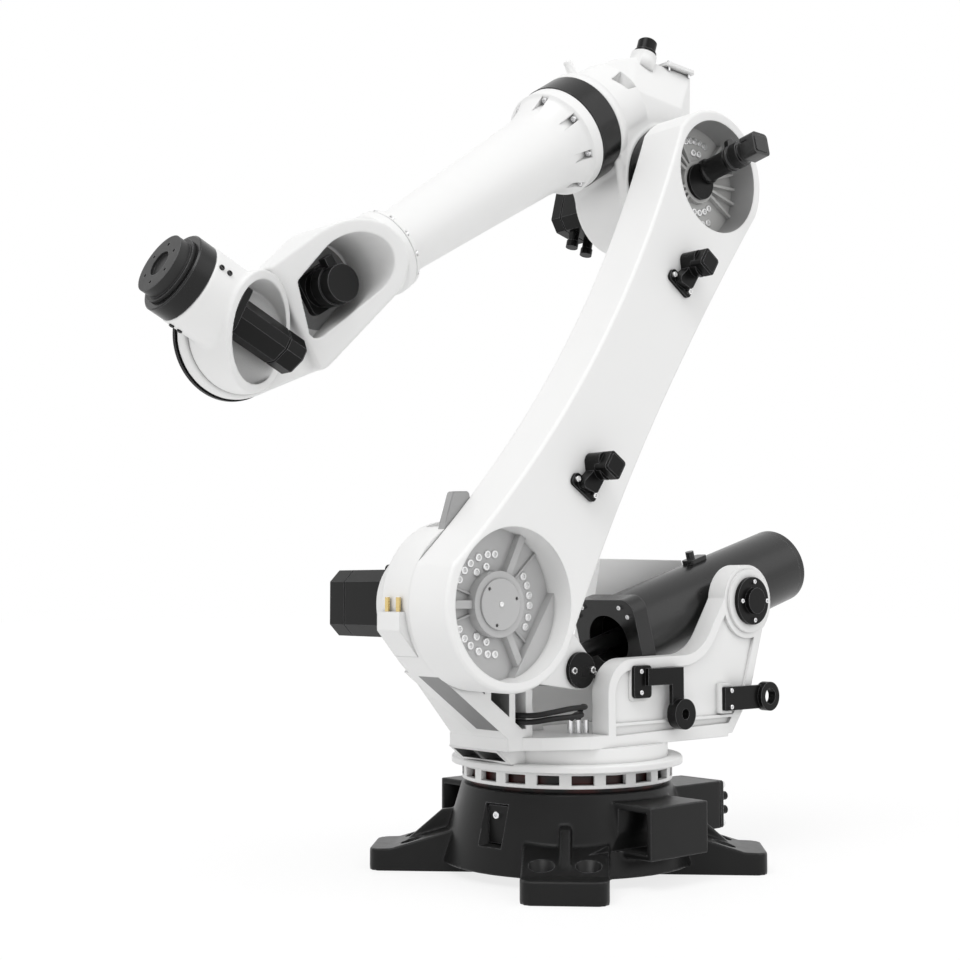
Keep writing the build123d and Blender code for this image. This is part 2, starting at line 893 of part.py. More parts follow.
    # Screw holes
    drill(cap_places, cap_screw, cap_screw_length)
    drill(far_cap_places, cap_screw, cap_screw_length)
    drill(saddle_places, clamp_screw, clamp_screw_length)
    drill(ring_bracket_places, clamp_screw, clamp_screw_length)
    with BuildSketch(Plane.XY.offset(gearbox1_top)):
        Circle(cable_bore)
    extrude(amount=deck_bottom - gearbox1_top - 20, mode=Mode.SUBTRACT)
write_piece(column_casting.part, "column_casting")

with BuildPart() as axis2_gearbox:
    with BuildSketch(side(shoulder, 0, housing_near)):
        Circle(gearbox2_radius)
    extrude(amount=gearbox2_length)
    with BuildSketch(side(shoulder, 0, housing_near)):
        Circle(spigot_radius + turn_gap)
    extrude(amount=spigot_length - (arm_far - housing_near) + turn_gap, mode=Mode.SUBTRACT)
    with BuildSketch(side(shoulder, 0, gearbox2_end)):
        Circle(motor_shaft_radius + seat_gap)
    extrude(amount=-motor_shaft_length, mode=Mode.SUBTRACT)
write_piece(axis2_gearbox.part, "axis2_gearbox")

axis2_motor = servo_motor(
    motor2_seat,
    motor_side,
    motor_side,
    rear_web_far - motor2_end,
    motor_shaft_radius,
    gearbox2_end - rear_web_far + motor_shaft_length - 2,
)
write_piece(axis2_motor, "axis2_motor")

with BuildPart() as hoist_lug:
    with BuildSketch(side(shoulder, 0, hoist_lug_y)):
        Polygon((-8, 228), (12, lug_seat), (85, lug_seat), (57, lug_peak_height), (12, lug_peak_height), align=None)
    extrude(amount=lug_width)
    with BuildSketch(side(shoulder, 0, hoist_lug_y)):
        with Locations((36, 240)):
            Circle(13)
    extrude(amount=lug_width, mode=Mode.SUBTRACT)
write_piece(hoist_lug.part, "hoist_lug")

with BuildPart() as levelling_bolts:
    with Locations(*[(shoulder_x + 213.5, y, shoulder_z + ledge_high) for y in (74, 116)]):
        Cylinder(6, 34, align=(Align.CENTER, Align.CENTER, Align.MIN))
write_piece(levelling_bolts.part, "levelling_bolts")

with BuildPart() as trunnion_caps:
    for seat in (facing(trunnion, 0, wall_boss_near), side(trunnion, 0, far_boss_far)):
        with BuildSketch(seat):
            Circle(cap_radius)
        extrude(amount=cap_thickness)
        with BuildSketch(seat.offset(cap_thickness)):
            Circle(cap_hub_radius)
        extrude(amount=cap_hub_height)
    drill(cap_places, cap_screw, cap_thickness)
    drill(far_cap_places, cap_screw, cap_thickness)
write_piece(trunnion_caps.part, "trunnion_caps")

with BuildPart() as trunnion_bushes:
    for seat, length in (
        (side(trunnion, 0, wall_boss_near), wall_boss_near - wall_far),
        (facing(trunnion, 0, far_boss_far), far_wall_near - far_boss_far),
    ):
        with BuildSketch(seat):
            Circle(bush_radius)
            Circle(trunnion_radius + pin_gap, mode=Mode.SUBTRACT)
        extrude(amount=length)
write_piece(trunnion_bushes.part, "trunnion_bushes")

with BuildPart() as hose_saddle:
    with BuildSketch(saddle_plane):
        RectangleRounded(64, 84, 10)
    extrude(amount=10)
    with BuildSketch(saddle_plane.offset(10)):
        with Locations((-68, -12)):
            Rectangle(120, 44)
    extrude(amount=12)
    with BuildSketch(saddle_plane.offset(10)):
        with Locations((-122, 30)):
            Rectangle(44, 128)
        with Locations((-130, 88)):
            Circle(40)
    extrude(amount=12)
    with BuildSketch(saddle_plane.offset(22)):
        with Locations((-130, 88)):
            Circle(40)
    extrude(amount=18)
    with BuildSketch(saddle_plane.offset(10)):
        with Locations((-130, 88)):
            Circle(14)
    extrude(amount=30, mode=Mode.SUBTRACT)
    drill(saddle_places, clamp_screw, 10)
write_piece(hose_saddle.part, "hose_saddle")

with BuildPart() as hose_ring_bracket:
    with BuildSketch(ring_bracket_plane):
        with Locations((-66, 0)):
            RectangleRounded(172, 64, 6)
    extrude(amount=12)
    with BuildSketch(ring_bracket_plane):
        with Locations((-158, 0)):
            Circle(40)
    extrude(amount=24)
    with BuildSketch(ring_bracket_plane):
        with Locations((-158, 0)):
            Circle(22)
    extrude(amount=24, mode=Mode.SUBTRACT)
    drill(ring_bracket_places, clamp_screw, 12)
write_piece(hose_ring_bracket.part, "hose_ring_bracket")

with BuildPart() as column_screws:
    add(screw_group(cap_places + far_cap_places, cap_screw, cap_screw_length))
    add(screw_group(saddle_places + ring_bracket_places, clamp_screw, clamp_screw_length))
write_piece(column_screws.part, "column_screws")

with BuildPart() as deck_sleeves:
    with Locations(*[(x, y, deck_top) for x, y in sleeve_spots]):
        Cylinder(sleeve_radius, sleeve_height, align=(Align.CENTER, Align.CENTER, Align.MIN))
write_piece(deck_sleeves.part, "deck_sleeves")


def cord(points, radius):
    """Round cord along straight runs joined by arcs as large as the runs allow."""
    corners = [Vector(*point) for point in points]
    bends = []
    for before, corner, after in zip(corners, corners[1:], corners[2:]):
        turn = (corner - before).get_angle(after - corner)
        run = min((corner - before).length, (after - corner).length)
        bends.append(0.45 * run / tan(radians(turn / 2)))
    with BuildPart() as tube:
        with BuildLine() as route:
            FilletPolyline(*points, radius=bends)
        start = corners[0]
        with BuildSketch(Plane(origin=start, z_dir=corners[1] - start)):
            Circle(radius)
        sweep(path=route.wires()[0])
    return tube.part


sleeve_top = deck_top + sleeve_height
hose_floor = housing_near - pocket_depth
with BuildPart() as deck_hoses:
    add(
        cord(
            [
                (*sleeve_spots[1], sleeve_top),
                (sleeve_spots[1][0] - 2, sleeve_spots[1][1] + 10, sleeve_top + 34),
                (126, 203, sleeve_top + 37),
                (185, 212, sleeve_top + 37),
                (245, 211, sleeve_top + 31),
                (292, 187, sleeve_top + 22),
                (307.5, 125, sleeve_top + 21),
                (307.5, hose_floor, sleeve_top + 21),
            ],
            hose_radius,
        )
    )
    add(
        cord(
            [
                (*sleeve_spots[0], sleeve_top),
                (sleeve_spots[0][0] + 1, sleeve_spots[0][1] + 24, sleeve_top + 16),
                (140, 205, sleeve_top + 18),
                (190, 216, sleeve_top + 16),
                (250, 207, sleeve_top + 14),
                (294, 180, sleeve_top + 6),
                (307.5, 122, sleeve_top + 4),
                (307.5, hose_floor, sleeve_top + 4),
            ],
            hose_radius,
        )
    )
write_piece(deck_hoses.part, "deck_hoses")


# Link arm

hub_outer = [29, 42, 54, 68, 82, 93]
hub_inner = [56, 77]
hub_rear = [146, 158, 170, 182, 196, 208]
elbow_outer = [70, 80, 90, 100, 110, 15, -3, -68, -80, -92, -104, -116]
elbow_inner = [84, 100, -85, -100, -115, -130]
arm_floor = arm_near - recess_depth
elbow_floor = arm_near - elbow_recess_depth
lug_pin_local = (lug_pin_radius * cosd(lug_pin_angle - link_pitch), lug_pin_radius * sind(lug_pin_angle - link_pitch))
hub_places = level(shoulder, arm_floor, outer_bolt_radius, hub_outer + [-angle for angle in hub_outer] + hub_rear)
hub_places += level(shoulder, arm_floor, inner_bolt_radius, hub_inner + [-angle for angle in hub_inner])
hub_places += level(elbow, elbow_floor, elbow_outer_bolts, elbow_outer)
hub_places += level(elbow, elbow_floor, elbow_inner_bolts, elbow_inner)
clamp_spots = (1034, 384)
clamp_planes = [facing(along(shoulder, link_pitch, spot), link_pitch, arm_near) for spot in clamp_spots]
clamp_places = [plane.offset(clamp_base) * Pos(-28, y) for plane in clamp_planes for y in (-12, 12)]
pin_flange_plane = facing(lug_pin, 0, lug_plate_near)
pin_flange_places = [pin_flange_plane.offset(pin_flange_thickness) * Pos(x, 0) for x in (-33, 33)]
hub_cover_places = level(shoulder, arm_floor + hub_height + hub_cover_thickness, hub_cover_radius - 10, [45, 165, 285])

with BuildPart() as link_arm_casting:
    with BuildSketch(side(shoulder, link_pitch, arm_near)):
        Circle(shoulder_end_radius)
        with Locations((link_length, 0)):
            Circle(elbow_end_radius)
        make_hull()
    extrude(amount=arm_thickness)
    fillet(link_arm_casting.faces().sort_by(Axis.Y)[-1].edges(), arm_edge)
    with BuildSketch(side(shoulder, link_pitch, lug_plate_near)):
        Circle(lug_root_radius)
        with Locations(lug_pin_local):
            Circle(lug_radius)
        make_hull()
    extrude(amount=lug_plate_near - arm_far)
    with BuildSketch(side(lug_pin, 0, lug_plate_near)):
        Circle(lug_radius)
    extrude(amount=lug_plate_near - lug_boss_far)
    with BuildSketch(side(lug_pin, 0, lug_plate_near)):
        Circle(pin_radius + seat_gap)
    extrude(amount=lug_plate_near - lug_boss_far, mode=Mode.SUBTRACT)
    # Shoulder recess with its hub and spokes
    with BuildSketch(side(shoulder, link_pitch, arm_near)):
        Circle(recess_radius)
    extrude(amount=recess_depth, mode=Mode.SUBTRACT)
    with BuildSketch(side(shoulder, link_pitch, arm_floor)):
        Circle(recess_radius + 2)
        with Locations((0, facet_offset - 400)):
            Rectangle(800, 800, mode=Mode.SUBTRACT)
    extrude(amount=-facet_height)
    with BuildSketch(side(shoulder, 0, arm_floor)):
        Circle(hub_radius)
    extrude(amount=-hub_height)
    for spoke in (117, 0, 243):
        with BuildSketch(side(shoulder, spoke, arm_floor)):
            with Locations(((hub_radius + recess_radius) / 2, 0)):
                Rectangle(recess_radius - hub_radius + 8, spoke_width)
        extrude(amount=-spoke_height)
    for spoke in (18, 342, 138, 222):
        with BuildSketch(side(shoulder, spoke, arm_floor)):
            with Locations(((hub_radius + recess_radius) / 2, 0)):
                Rectangle(recess_radius - hub_radius + 8, spoke_width / 4)
        extrude(amount=-spoke_height / 3)
    # Elbow recess with its ribs
    with BuildSketch(side(elbow, 0, arm_near)):
        Circle(elbow_recess_radius)
    extrude(amount=elbow_recess_depth, mode=Mode.SUBTRACT)
    for rib in (28, 42, 56, 130, 146, 162, 178, 194, 210, 312, 326, 340):
        with BuildSketch(side(elbow, rib, elbow_floor)):
            with Locations(((elbow_hub_radius + elbow_recess_radius) / 2, 0)):
                Rectangle(elbow_recess_radius - elbow_hub_radius + 4, 8)
        extrude(amount=-elbow_hub_height)
    with BuildSketch(side(elbow, 0, elbow_floor)):
        Circle(elbow_hub_radius + 10)
    extrude(amount=-elbow_hub_height)
    # Spigots that run in the two gearboxes
    for centre in (shoulder, elbow):
        with BuildSketch(side(centre, 0, arm_far)):
            Circle(spigot_radius)
        extrude(amount=spigot_length)
    # Pocket in the back, with cross ribs
    with BuildSketch(side(shoulder, link_pitch, arm_far)) as back_pocket:
        with Locations(((back_pocket_start + back_pocket_end) / 2, 0)):
            RectangleRounded(back_pocket_end - back_pocket_start, 2 * back_pocket_half, 40)
        pitch = (back_pocket_end - back_pocket_start) / (back_rib_count + 1)
        with Locations(*[(back_pocket_start + pitch * (index + 1), 0) for index in range(back_rib_count)]):
            Rectangle(back_rib_width, 2 * back_pocket_half, mode=Mode.SUBTRACT)
    extrude(amount=-back_pocket_depth, mode=Mode.SUBTRACT)
    drill(hub_places, hub_screw, hub_screw_length)
    drill(clamp_places, clamp_screw, clamp_screw_length)
    drill(pin_flange_places, clamp_screw, clamp_screw_length)
    drill(hub_cover_places, clamp_screw, clamp_screw_length)
write_piece(link_arm_casting.part, "link_arm_casting")

with BuildPart() as axis2_hub_cover:
    with BuildSketch(facing(shoulder, 0, arm_floor + hub_height)):
        Circle(hub_cover_radius)
    extrude(amount=hub_cover_thickness)
    drill(hub_cover_places, clamp_screw, hub_cover_thickness)
write_piece(axis2_hub_cover.part, "axis2_hub_cover")

write_piece(screw_group(hub_places, hub_screw, hub_screw_length), "link_arm_bolts")

hub_face3 = elbow_floor + elbow_hub_height
with BuildPart() as axis3_hub_cover:
    with BuildSketch(facing(elbow, 0, hub_face3)):
        Circle(elbow_hub_radius)
    extrude(amount=hub_cover_thickness * 2)
write_piece(axis3_hub_cover.part, "axis3_hub_cover")

guide_seat = facing((elbow[0] + guide_x, elbow[1] + guide_z), 0, hub_face3 + 2 * hub_cover_thickness)
guide_way = (0, cosd(guide_tilt), sind(guide_tilt))
guide_end = (
    elbow[0] + guide_x,
    guide_seat.origin.Y + guide_length * cosd(guide_tilt),
    elbow[1] + guide_z + guide_length * sind(guide_tilt),
)
guide_head = Plane(origin=guide_end, x_dir=(1, 0, 0), z_dir=guide_way)
with BuildPart() as hose_guide_tube:
    with BuildSketch(guide_head):
        Circle(guide_radius)
    extrude(amount=-guide_length - guide_radius)
    with BuildSketch(guide_seat):
        Circle(3 * guide_radius)
    extrude(amount=-3 * guide_radius, mode=Mode.SUBTRACT)
    with BuildSketch(guide_head):
        Circle(guide_radius * 0.8)
    extrude(amount=guide_head_depth / 2)
write_piece(hose_guide_tube.part, "hose_guide_tube")

with BuildPart() as hose_guide_clamp:
    with BuildSketch(guide_head):
        RectangleRounded(guide_head_width, guide_head_width, 10)
    extrude(amount=guide_head_depth)
    chamfer(hose_guide_clamp.faces().sort_by(Axis(guide_head.origin, guide_head.z_dir))[-1].edges(), 4)
    with BuildSketch(guide_head):
        Circle(guide_radius * 0.8 + seat_gap)
    extrude(amount=guide_head_depth / 2, mode=Mode.SUBTRACT)
    with BuildSketch(guide_head):
        with Locations((guide_head_width / 3.2, 0)):
            Rectangle(4, guide_head_width)
    extrude(amount=guide_head_depth / 2.5, mode=Mode.SUBTRACT)
write_piece(hose_guide_clamp.part, "hose_guide_clamp")


def hose_clamp(plane):
    """Bracket with a slotted head that holds the hose package beside the arm."""
    with BuildPart() as clamp:
        with BuildSketch(plane):
            RectangleRounded(84, 46, 8)
        extrude(amount=clamp_base)
        with BuildSketch(plane.offset(clamp_base)):
            with Locations((30, 0)):
                Rectangle(22, 34)
        extrude(amount=clamp_rise)
        with BuildSketch(plane.offset(clamp_base + clamp_rise * 0.5)):
            with Locations((46, 0)):
                RectangleRounded(58, 54, 12)
        extrude(amount=clamp_rise)
        chamfer(clamp.faces().sort_by(Axis(plane.origin, plane.z_dir))[-1].edges(), 5)
        with BuildSketch(plane.offset(clamp_base + clamp_rise * 0.5)):
            with Locations((60, 0)):
                Rectangle(5, 60)
        extrude(amount=clamp_rise * 0.45, mode=Mode.SUBTRACT)
        drill([plane.offset(clamp_base) * Pos(-28, y) for y in (-12, 12)], clamp_screw, clamp_base)
    return clamp.part


write_piece(hose_clamp(clamp_planes[0]), "upper_hose_clamp")
write_piece(hose_clamp(clamp_planes[1]), "lower_hose_clamp")

rod_eye_near = balancer_y + rod_eye_width / 2
rod_eye_far = balancer_y - rod_eye_width / 2
with BuildPart() as balancer_pin:
    with BuildSketch(pin_flange_plane):
        Circle(pin_flange_radius)
    extrude(amount=pin_flange_thickness)
    with BuildSketch(pin_flange_plane):
        Circle(pin_radius)
    extrude(amount=-(lug_plate_near - rod_eye_far + joint_gap))
    drill(pin_flange_places, clamp_screw, pin_flange_thickness)
write_piece(balancer_pin.part, "balancer_pin")

write_piece(
    screw_group(clamp_places + pin_flange_places + hub_cover_places, clamp_screw, clamp_screw_length),
    "arm_small_screws",
)


# Counterbalance: a gas cylinder on trunnions and its rod

def barrel_plane(distance):
    """Plane square to the counterbalance axis, at a distance forward of the trunnions."""
    return axial(trunnion, balancer_pitch, distance, 0, balancer_y)


trunnion_near = balancer_y + trunnion_boss_reach
trunnion_far = balancer_y - trunnion_boss_reach
front_cap_face = barrel_plane(barrel_front + front_cap_length)
front_cap_places = [
    front_cap_face * Pos(x * front_cap_half * a, y * front_cap_half * b)
    for x in (1, -1)
    for y in (1, -1)
    for a, b in ((0.82, 0.6), (0.6, 0.82))
]

with BuildPart() as balancer_barrel:
    with BuildSketch(barrel_plane(barrel_rear)):
        Circle(barrel_radius)
    extrude(amount=barrel_front - barrel_rear)
    with BuildSketch(side(trunnion, 0, trunnion_near)):
        Circle(trunnion_boss_radius)
    extrude(amount=2 * trunnion_boss_reach)
    with BuildSketch(barrel_plane(barrel_rear)):
        Circle(barrel_radius - barrel_wall)
    extrude(amount=barrel_front - barrel_rear, mode=Mode.SUBTRACT)
    for seat in (facing(trunnion, 0, trunnion_near), side(trunnion, 0, trunnion_far)):
        with BuildSketch(seat):
            Circle(trunnion_radius + seat_gap)
        extrude(amount=-trunnion_seat, mode=Mode.SUBTRACT)
write_piece(balancer_barrel.part, "balancer_barrel")

with BuildPart() as balancer_front_cap:
    with BuildSketch(barrel_plane(barrel_front)):
        RectangleRounded(2 * front_cap_half, 2 * front_cap_half, front_cap_corner)
        Circle(front_cap_bore, mode=Mode.SUBTRACT)
    extrude(amount=front_cap_length)
    drill(front_cap_places, cap_screw, cap_screw_length)
write_piece(balancer_front_cap.part, "balancer_front_cap")

with BuildPart() as balancer_rear_cap:
    with BuildSketch(barrel_plane(barrel_rear)):
        Circle(barrel_radius)
    extrude(amount=-rear_cap_length)
    chamfer(balancer_rear_cap.faces().sort_by(Axis(barrel_plane(0).origin, barrel_plane(0).z_dir))[0].edges(), 6)
write_piece(balancer_rear_cap.part, "balancer_rear_cap")

with BuildPart() as trunnion_pins:
    pin_length = trunnion_seat + wall_boss_near - trunnion_near - joint_gap
    for seat in (facing(trunnion, 0, trunnion_near - trunnion_seat), side(trunnion, 0, trunnion_far + trunnion_seat)):
        with BuildSketch(seat):
            Circle(trunnion_radius)
        extrude(amount=pin_length)
write_piece(trunnion_pins.part, "trunnion_pins")

with BuildPart() as balancer_valve:
    with BuildSketch(above(trunnion, balancer_pitch, valve_spot, barrel_radius - 2, balancer_y)):
        RectangleRounded(70, 40, 8)
    extrude(amount=14)
    with BuildSketch(above(trunnion, balancer_pitch, valve_spot + 14, barrel_radius, balancer_y)):
        Circle(12)
    extrude(amount=34)
    with BuildSketch(barrel_plane(barrel_rear)):
        Circle(barrel_radius + seat_gap)
    extrude(amount=barrel_front - barrel_rear, mode=Mode.SUBTRACT)
write_piece(balancer_valve.part, "balancer_valve")

write_piece(screw_group(front_cap_places, cap_screw, cap_screw_length), "balancer_cap_screws")


def rod_plane(distance):
    """Plane square to the rod, at a distance from the link arm's pin towards the barrel."""
    return axial(lug_pin, balancer_pitch + 180, distance, 0, balancer_y)


with BuildPart() as balancer_rod_end:
    with BuildSketch(side(lug_pin, 0, rod_eye_near)):
        Circle(rod_eye_radius)
    extrude(amount=rod_eye_width)
    with BuildSketch(rod_plane(0)):
        Circle(rod_socket_radius * 0.85)
    extrude(amount=rod_socket_length - 20)
    with BuildSketch(rod_plane(rod_socket_length - 24)):
        Circle(rod_socket_radius)
    extrude(amount=24)
    with BuildSketch(side(lug_pin, 0, rod_eye_near)):
        Circle(pin_radius + pin_gap)
    extrude(amount=rod_eye_width, mode=Mode.SUBTRACT)
    with BuildSketch(rod_plane(rod_eye_radius + 10)):
        Circle(rod_radius + seat_gap)
    extrude(amount=rod_socket_length, mode=Mode.SUBTRACT)
write_piece(balancer_rod_end.part, "balancer_rod_end")

with BuildPart() as balancer_rod:
    with BuildSketch(rod_plane(rod_eye_radius + 10)):
        Circle(rod_radius)
    extrude(amount=rod_length - rod_eye_radius - 10)
write_piece(balancer_rod.part, "balancer_rod")

with BuildPart() as balancer_piston:
    with BuildSketch(rod_plane(rod_length)):
        Circle(piston_radius)
        Circle(rod_radius + seat_gap, mode=Mode.SUBTRACT)
    extrude(amount=-piston_width)
    with BuildSketch(rod_plane(rod_length)):
        Circle(rod_radius + 10)
    extrude(amount=8)
write_piece(balancer_piston.part, "balancer_piston")


# Elbow

def elbow_plane(distance, rise=forearm_offset, y=0):
    """Plane square to the forearm line, at a distance forward of the elbow axis."""
    return axial(elbow, forearm_pitch, distance, rise, y)


elbow_slab_near = 88
top_start = (-62, 388)
top_end = (-176, 357)
rear_end = (-363, 224)
rear_pitch = forearm_pitch + degrees(atan2(top_end[1] - rear_end[1], top_end[0] - rear_end[0]))
rear_slope = hypot(top_end[0] - rear_end[0], top_end[1] - rear_end[1])
rear_top = along(elbow, forearm_pitch, *top_end)
rear_cover_length = rear_slope - rear_cover_setback
rear_face = above(rear_top, rear_pitch, -(rear_slope + rear_cover_setback) / 2, 0, rear_cover_y)
cap_foot = along(rear_top, rear_pitch, -elbow_cap_setback, 14)
cap_seat = above(cap_foot, elbow_cap_pitch, 0, 0, elbow_cap_y)
rear_cover_places = [
    rear_face.offset(rear_cover_thickness) * Pos(x * (rear_cover_length / 2 - 18), y * 62) for x in (1, -1) for y in (1, -1)
]
ring_places3 = level(elbow, elbow_near + 8, elbow_ring_radius - 12, [18 + 24 * index for index in range(15)])
motor3_seat = side(elbow, motor3_pitch, elbow_far)

with BuildPart() as elbow_casting:
    with BuildSketch(elbow_plane(roll_case_rear)):
        Circle(roll_case_radius - 14)
    extrude(amount=roll_case_front - roll_case_rear)
    with BuildSketch(elbow_plane(roll_case_front - roll_rim)):
        Circle(roll_case_radius)
    extrude(amount=roll_rim)
    for azimuth in range(0, 360, 30):
        with BuildSketch(elbow_plane(roll_case_rear) * Rot(0, 0, azimuth)):
            with Locations((roll_case_radius - 16, 0)):
                Rectangle(26, 12)
        extrude(amount=roll_case_front - roll_case_rear)
    with BuildSketch(side(elbow, forearm_pitch, elbow_slab_near)):
        Polygon(
            (96, 398),
            top_start,
            top_end,
            rear_end,
            (-306, 150),
            tangent_point((-306, 150), (0, 0), elbow_far_radius, 1),
            (0, 0),
            tangent_point((104, 130), (0, 0), elbow_far_radius, -1),
            (104, 130),
            align=None,
        )
    extrude(amount=elbow_slab_near - elbow_far)
    with BuildSketch(side(elbow, 0, elbow_near)):
        Circle(elbow_end_radius)
    with BuildSketch(side(elbow, 0, elbow_far)):
        Circle(elbow_far_radius)
    loft()
    # Gusset between the boss and the roll case
    with BuildSketch(side(elbow, forearm_pitch, elbow_near - 20)):
        Polygon((96, 150), (110, 250), (20, 168), align=None)
    extrude(amount=80)
    with BuildSketch(side(elbow, 0, elbow_near)):
        Circle(gearbox3_radius + seat_gap)
    extrude(amount=elbow_near - gearbox3_end, mode=Mode.SUBTRACT)
    with BuildSketch(side(elbow, 0, gearbox3_end)):
        Circle(motor_shaft_radius + joint_gap)
    extrude(amount=gearbox3_end - elbow_far, mode=Mode.SUBTRACT)
    with BuildSketch(elbow_plane(roll_case_front)):
        Circle(gearbox4_radius + seat_gap)
    extrude(amount=-gearbox4_length, mode=Mode.SUBTRACT)
    with BuildSketch(rear_face):
        RectangleRounded(rear_cover_length - 56, 100, 12)
    extrude(amount=-rear_cover_depth, mode=Mode.SUBTRACT)
    with BuildSketch(cap_seat):
        Circle(elbow_cap_radius + 10)
    extrude(amount=-46)
    drill(rear_cover_places, clamp_screw, clamp_screw_length)
    drill(ring_places3, clamp_screw, clamp_screw_length)
write_piece(elbow_casting.part, "elbow_casting")

with BuildPart() as axis3_gearbox:
    with BuildSketch(side(elbow, 0, arm_far - joint_gap)):
        Circle(elbow_ring_radius)
    extrude(amount=arm_far - joint_gap - elbow_near)
    with BuildSketch(side(elbow, 0, elbow_near)):
        Circle(gearbox3_radius)
    extrude(amount=elbow_near - gearbox3_end)
    with BuildSketch(side(elbow, 0, arm_far)):
        Circle(spigot_radius + turn_gap)
    extrude(amount=spigot_length + turn_gap, mode=Mode.SUBTRACT)
    for place in ring_places3:
        with BuildSketch(place):
            Circle(clamp_screw * 0.8 + hole_gap)
        extrude(amount=60, mode=Mode.SUBTRACT)
    drill(ring_places3, clamp_screw, clamp_screw_length)
    with BuildSketch(side(elbow, 0, gearbox3_end)):
        Circle(motor_shaft_radius + seat_gap)
    extrude(amount=-motor_shaft_length, mode=Mode.SUBTRACT)
write_piece(axis3_gearbox.part, "axis3_gearbox")

axis3_motor = servo_motor(
    motor3_seat,
    motor3_side,
    motor3_side,
    elbow_far - motor3_end,
    motor_shaft_radius,
    gearbox3_end - elbow_far + motor_shaft_length - 2,
)
write_piece(axis3_motor, "axis3_motor")

with BuildPart() as axis3_motor_plugs:
    for shift in (-36, 24):
        plug_point = along(elbow, motor3_pitch, shift, -motor3_side / 2)
        plug_seat = Plane(
            origin=(plug_point[0], motor3_plug_y, plug_point[1]),
            z_dir=(sind(motor3_pitch), 0, -cosd(motor3_pitch)),
        )
        with BuildSketch(plug_seat):
            Circle(15)
        extrude(amount=30)
        with BuildSketch(plug_seat.offset(30)):
            Circle(18)
        extrude(amount=20)
write_piece(axis3_motor_plugs.part, "axis3_motor_plugs")

with BuildPart() as elbow_cover:
    with BuildSketch(rear_face):
        RectangleRounded(rear_cover_length - 4, 150, 10)
    extrude(amount=rear_cover_thickness)
    drill(rear_cover_places, clamp_screw, rear_cover_thickness)
write_piece(elbow_cover.part, "elbow_cover")

with BuildPart() as elbow_cap:
    with BuildSketch(cap_seat):
        Circle(elbow_cap_radius + 5)
    extrude(amount=10)
    with BuildSketch(cap_seat):
        Circle(elbow_cap_radius)
    extrude(amount=elbow_cap_height)
    chamfer(elbow_cap.faces().sort_by(Axis(cap_seat.origin, cap_seat.z_dir))[-1].edges(), 4)
write_piece(elbow_cap.part, "elbow_cap")

write_piece(screw_group(rear_cover_places + ring_places3, clamp_screw, clamp_screw_length), "elbow_screws")

with BuildPart() as axis4_gearbox:
    with BuildSketch(elbow_plane(roll_case_front)):
        Circle(band_radius)
    extrude(amount=band_front - roll_case_front)
    with BuildSketch(elbow_plane(roll_case_front)):
        Circle(gearbox4_radius)
    extrude(amount=-gearbox4_length)
    with BuildSketch(elbow_plane(band_front)):
        Circle(forearm_spigot + turn_gap)
    extrude(amount=-forearm_spigot_length - turn_gap, mode=Mode.SUBTRACT)
write_piece(axis4_gearbox.part, "axis4_gearbox")


# Forearm

tube_start = band_front + turn_gap
flare_places = [
    elbow_plane(tube_flange_end) * Rot(0, 0, 22.5 + 45 * index) * Pos(flare_bolt_radius, 0) for index in range(8)
]
tube_end_radius = wrist_flange_radius - 4
wrist_bolt_back = tube_front
wrist_places = [
    elbow_plane(wrist_bolt_back) * Rot(0, 180, 0) * Rot(0, 0, 15 + 30 * index) * Pos(tube_front_radius + 15, 0)
    for index in range(12)
]

with BuildPart() as forearm_tube:
    with BuildSketch(elbow_plane(tube_start)):
        Circle(tube_flange_radius)
    extrude(amount=tube_flange_end - tube_start)
    with BuildSketch(elbow_plane(tube_flange_end)):
        Circle(tube_flange_radius - 6)
    with BuildSketch(elbow_plane(tube_flare_end)):
        Circle(tube_rear_radius)
    loft()
    with BuildSketch(elbow_plane(tube_flare_end)):
        Circle(tube_rear_radius)
    with BuildSketch(elbow_plane(tube_front)):
        Circle(tube_front_radius)
    loft()
    with BuildSketch(elbow_plane(tube_front)):
        Circle(tube_end_radius)
    extrude(amount=wrist_flange_end - wrist_flange_thickness - tube_front)
    # Pockets with the flange bolts round the flare
    for index in range(8):
        with BuildSketch(elbow_plane(tube_flange_end) * Rot(0, 0, 22.5 + 45 * index)):
            with Locations((tube_flange_radius + 14 - 18, 0)):
                Rectangle(44, 52)
        extrude(amount=64, mode=Mode.SUBTRACT)
    with BuildSketch(elbow_plane(tube_flange_end)):
        Circle(tube_rear_radius - tube_wall)
    with BuildSketch(elbow_plane(tube_front)):
        Circle(tube_front_radius - tube_wall)
    loft(mode=Mode.SUBTRACT)
    with BuildSketch(elbow_plane(tube_front)):
        Circle(tube_front_radius - tube_wall)
    extrude(amount=60, mode=Mode.SUBTRACT)
    with BuildSketch(elbow_plane(tube_start)):
        Circle(forearm_spigot)
    extrude(amount=-forearm_spigot_length)
    drill(flare_places, hub_screw, hub_screw_length)
    drill(wrist_places, wrist_screw, wrist_screw_length)
write_piece(forearm_tube.part, "forearm_tube")

# Wrist housing: a hollow box that ends in a fork plate beside the hand

sweep_front = wrist_reach - hand_sweep
rim_slope = degrees(atan2(rim_front_y - rim_rear_y, sweep_front - rim_rear_reach))
rim_plane = Plane(
    origin=(
        along(elbow, forearm_pitch, rim_rear_reach)[0],
        rim_rear_y,
        along(elbow, forearm_pitch, rim_rear_reach)[1],
    ),
    x_dir=(cosd(forearm_pitch) * cosd(rim_slope), sind(rim_slope), sind(forearm_pitch) * cosd(rim_slope)),
    z_dir=(-cosd(forearm_pitch) * sind(rim_slope), cosd(rim_slope), -sind(forearm_pitch) * sind(rim_slope)),
)
motor5_centre = along(elbow, forearm_pitch, motor5_reach, motor5_rise)
motor5_seat = facing(motor5_centre, forearm_pitch, fork_near)


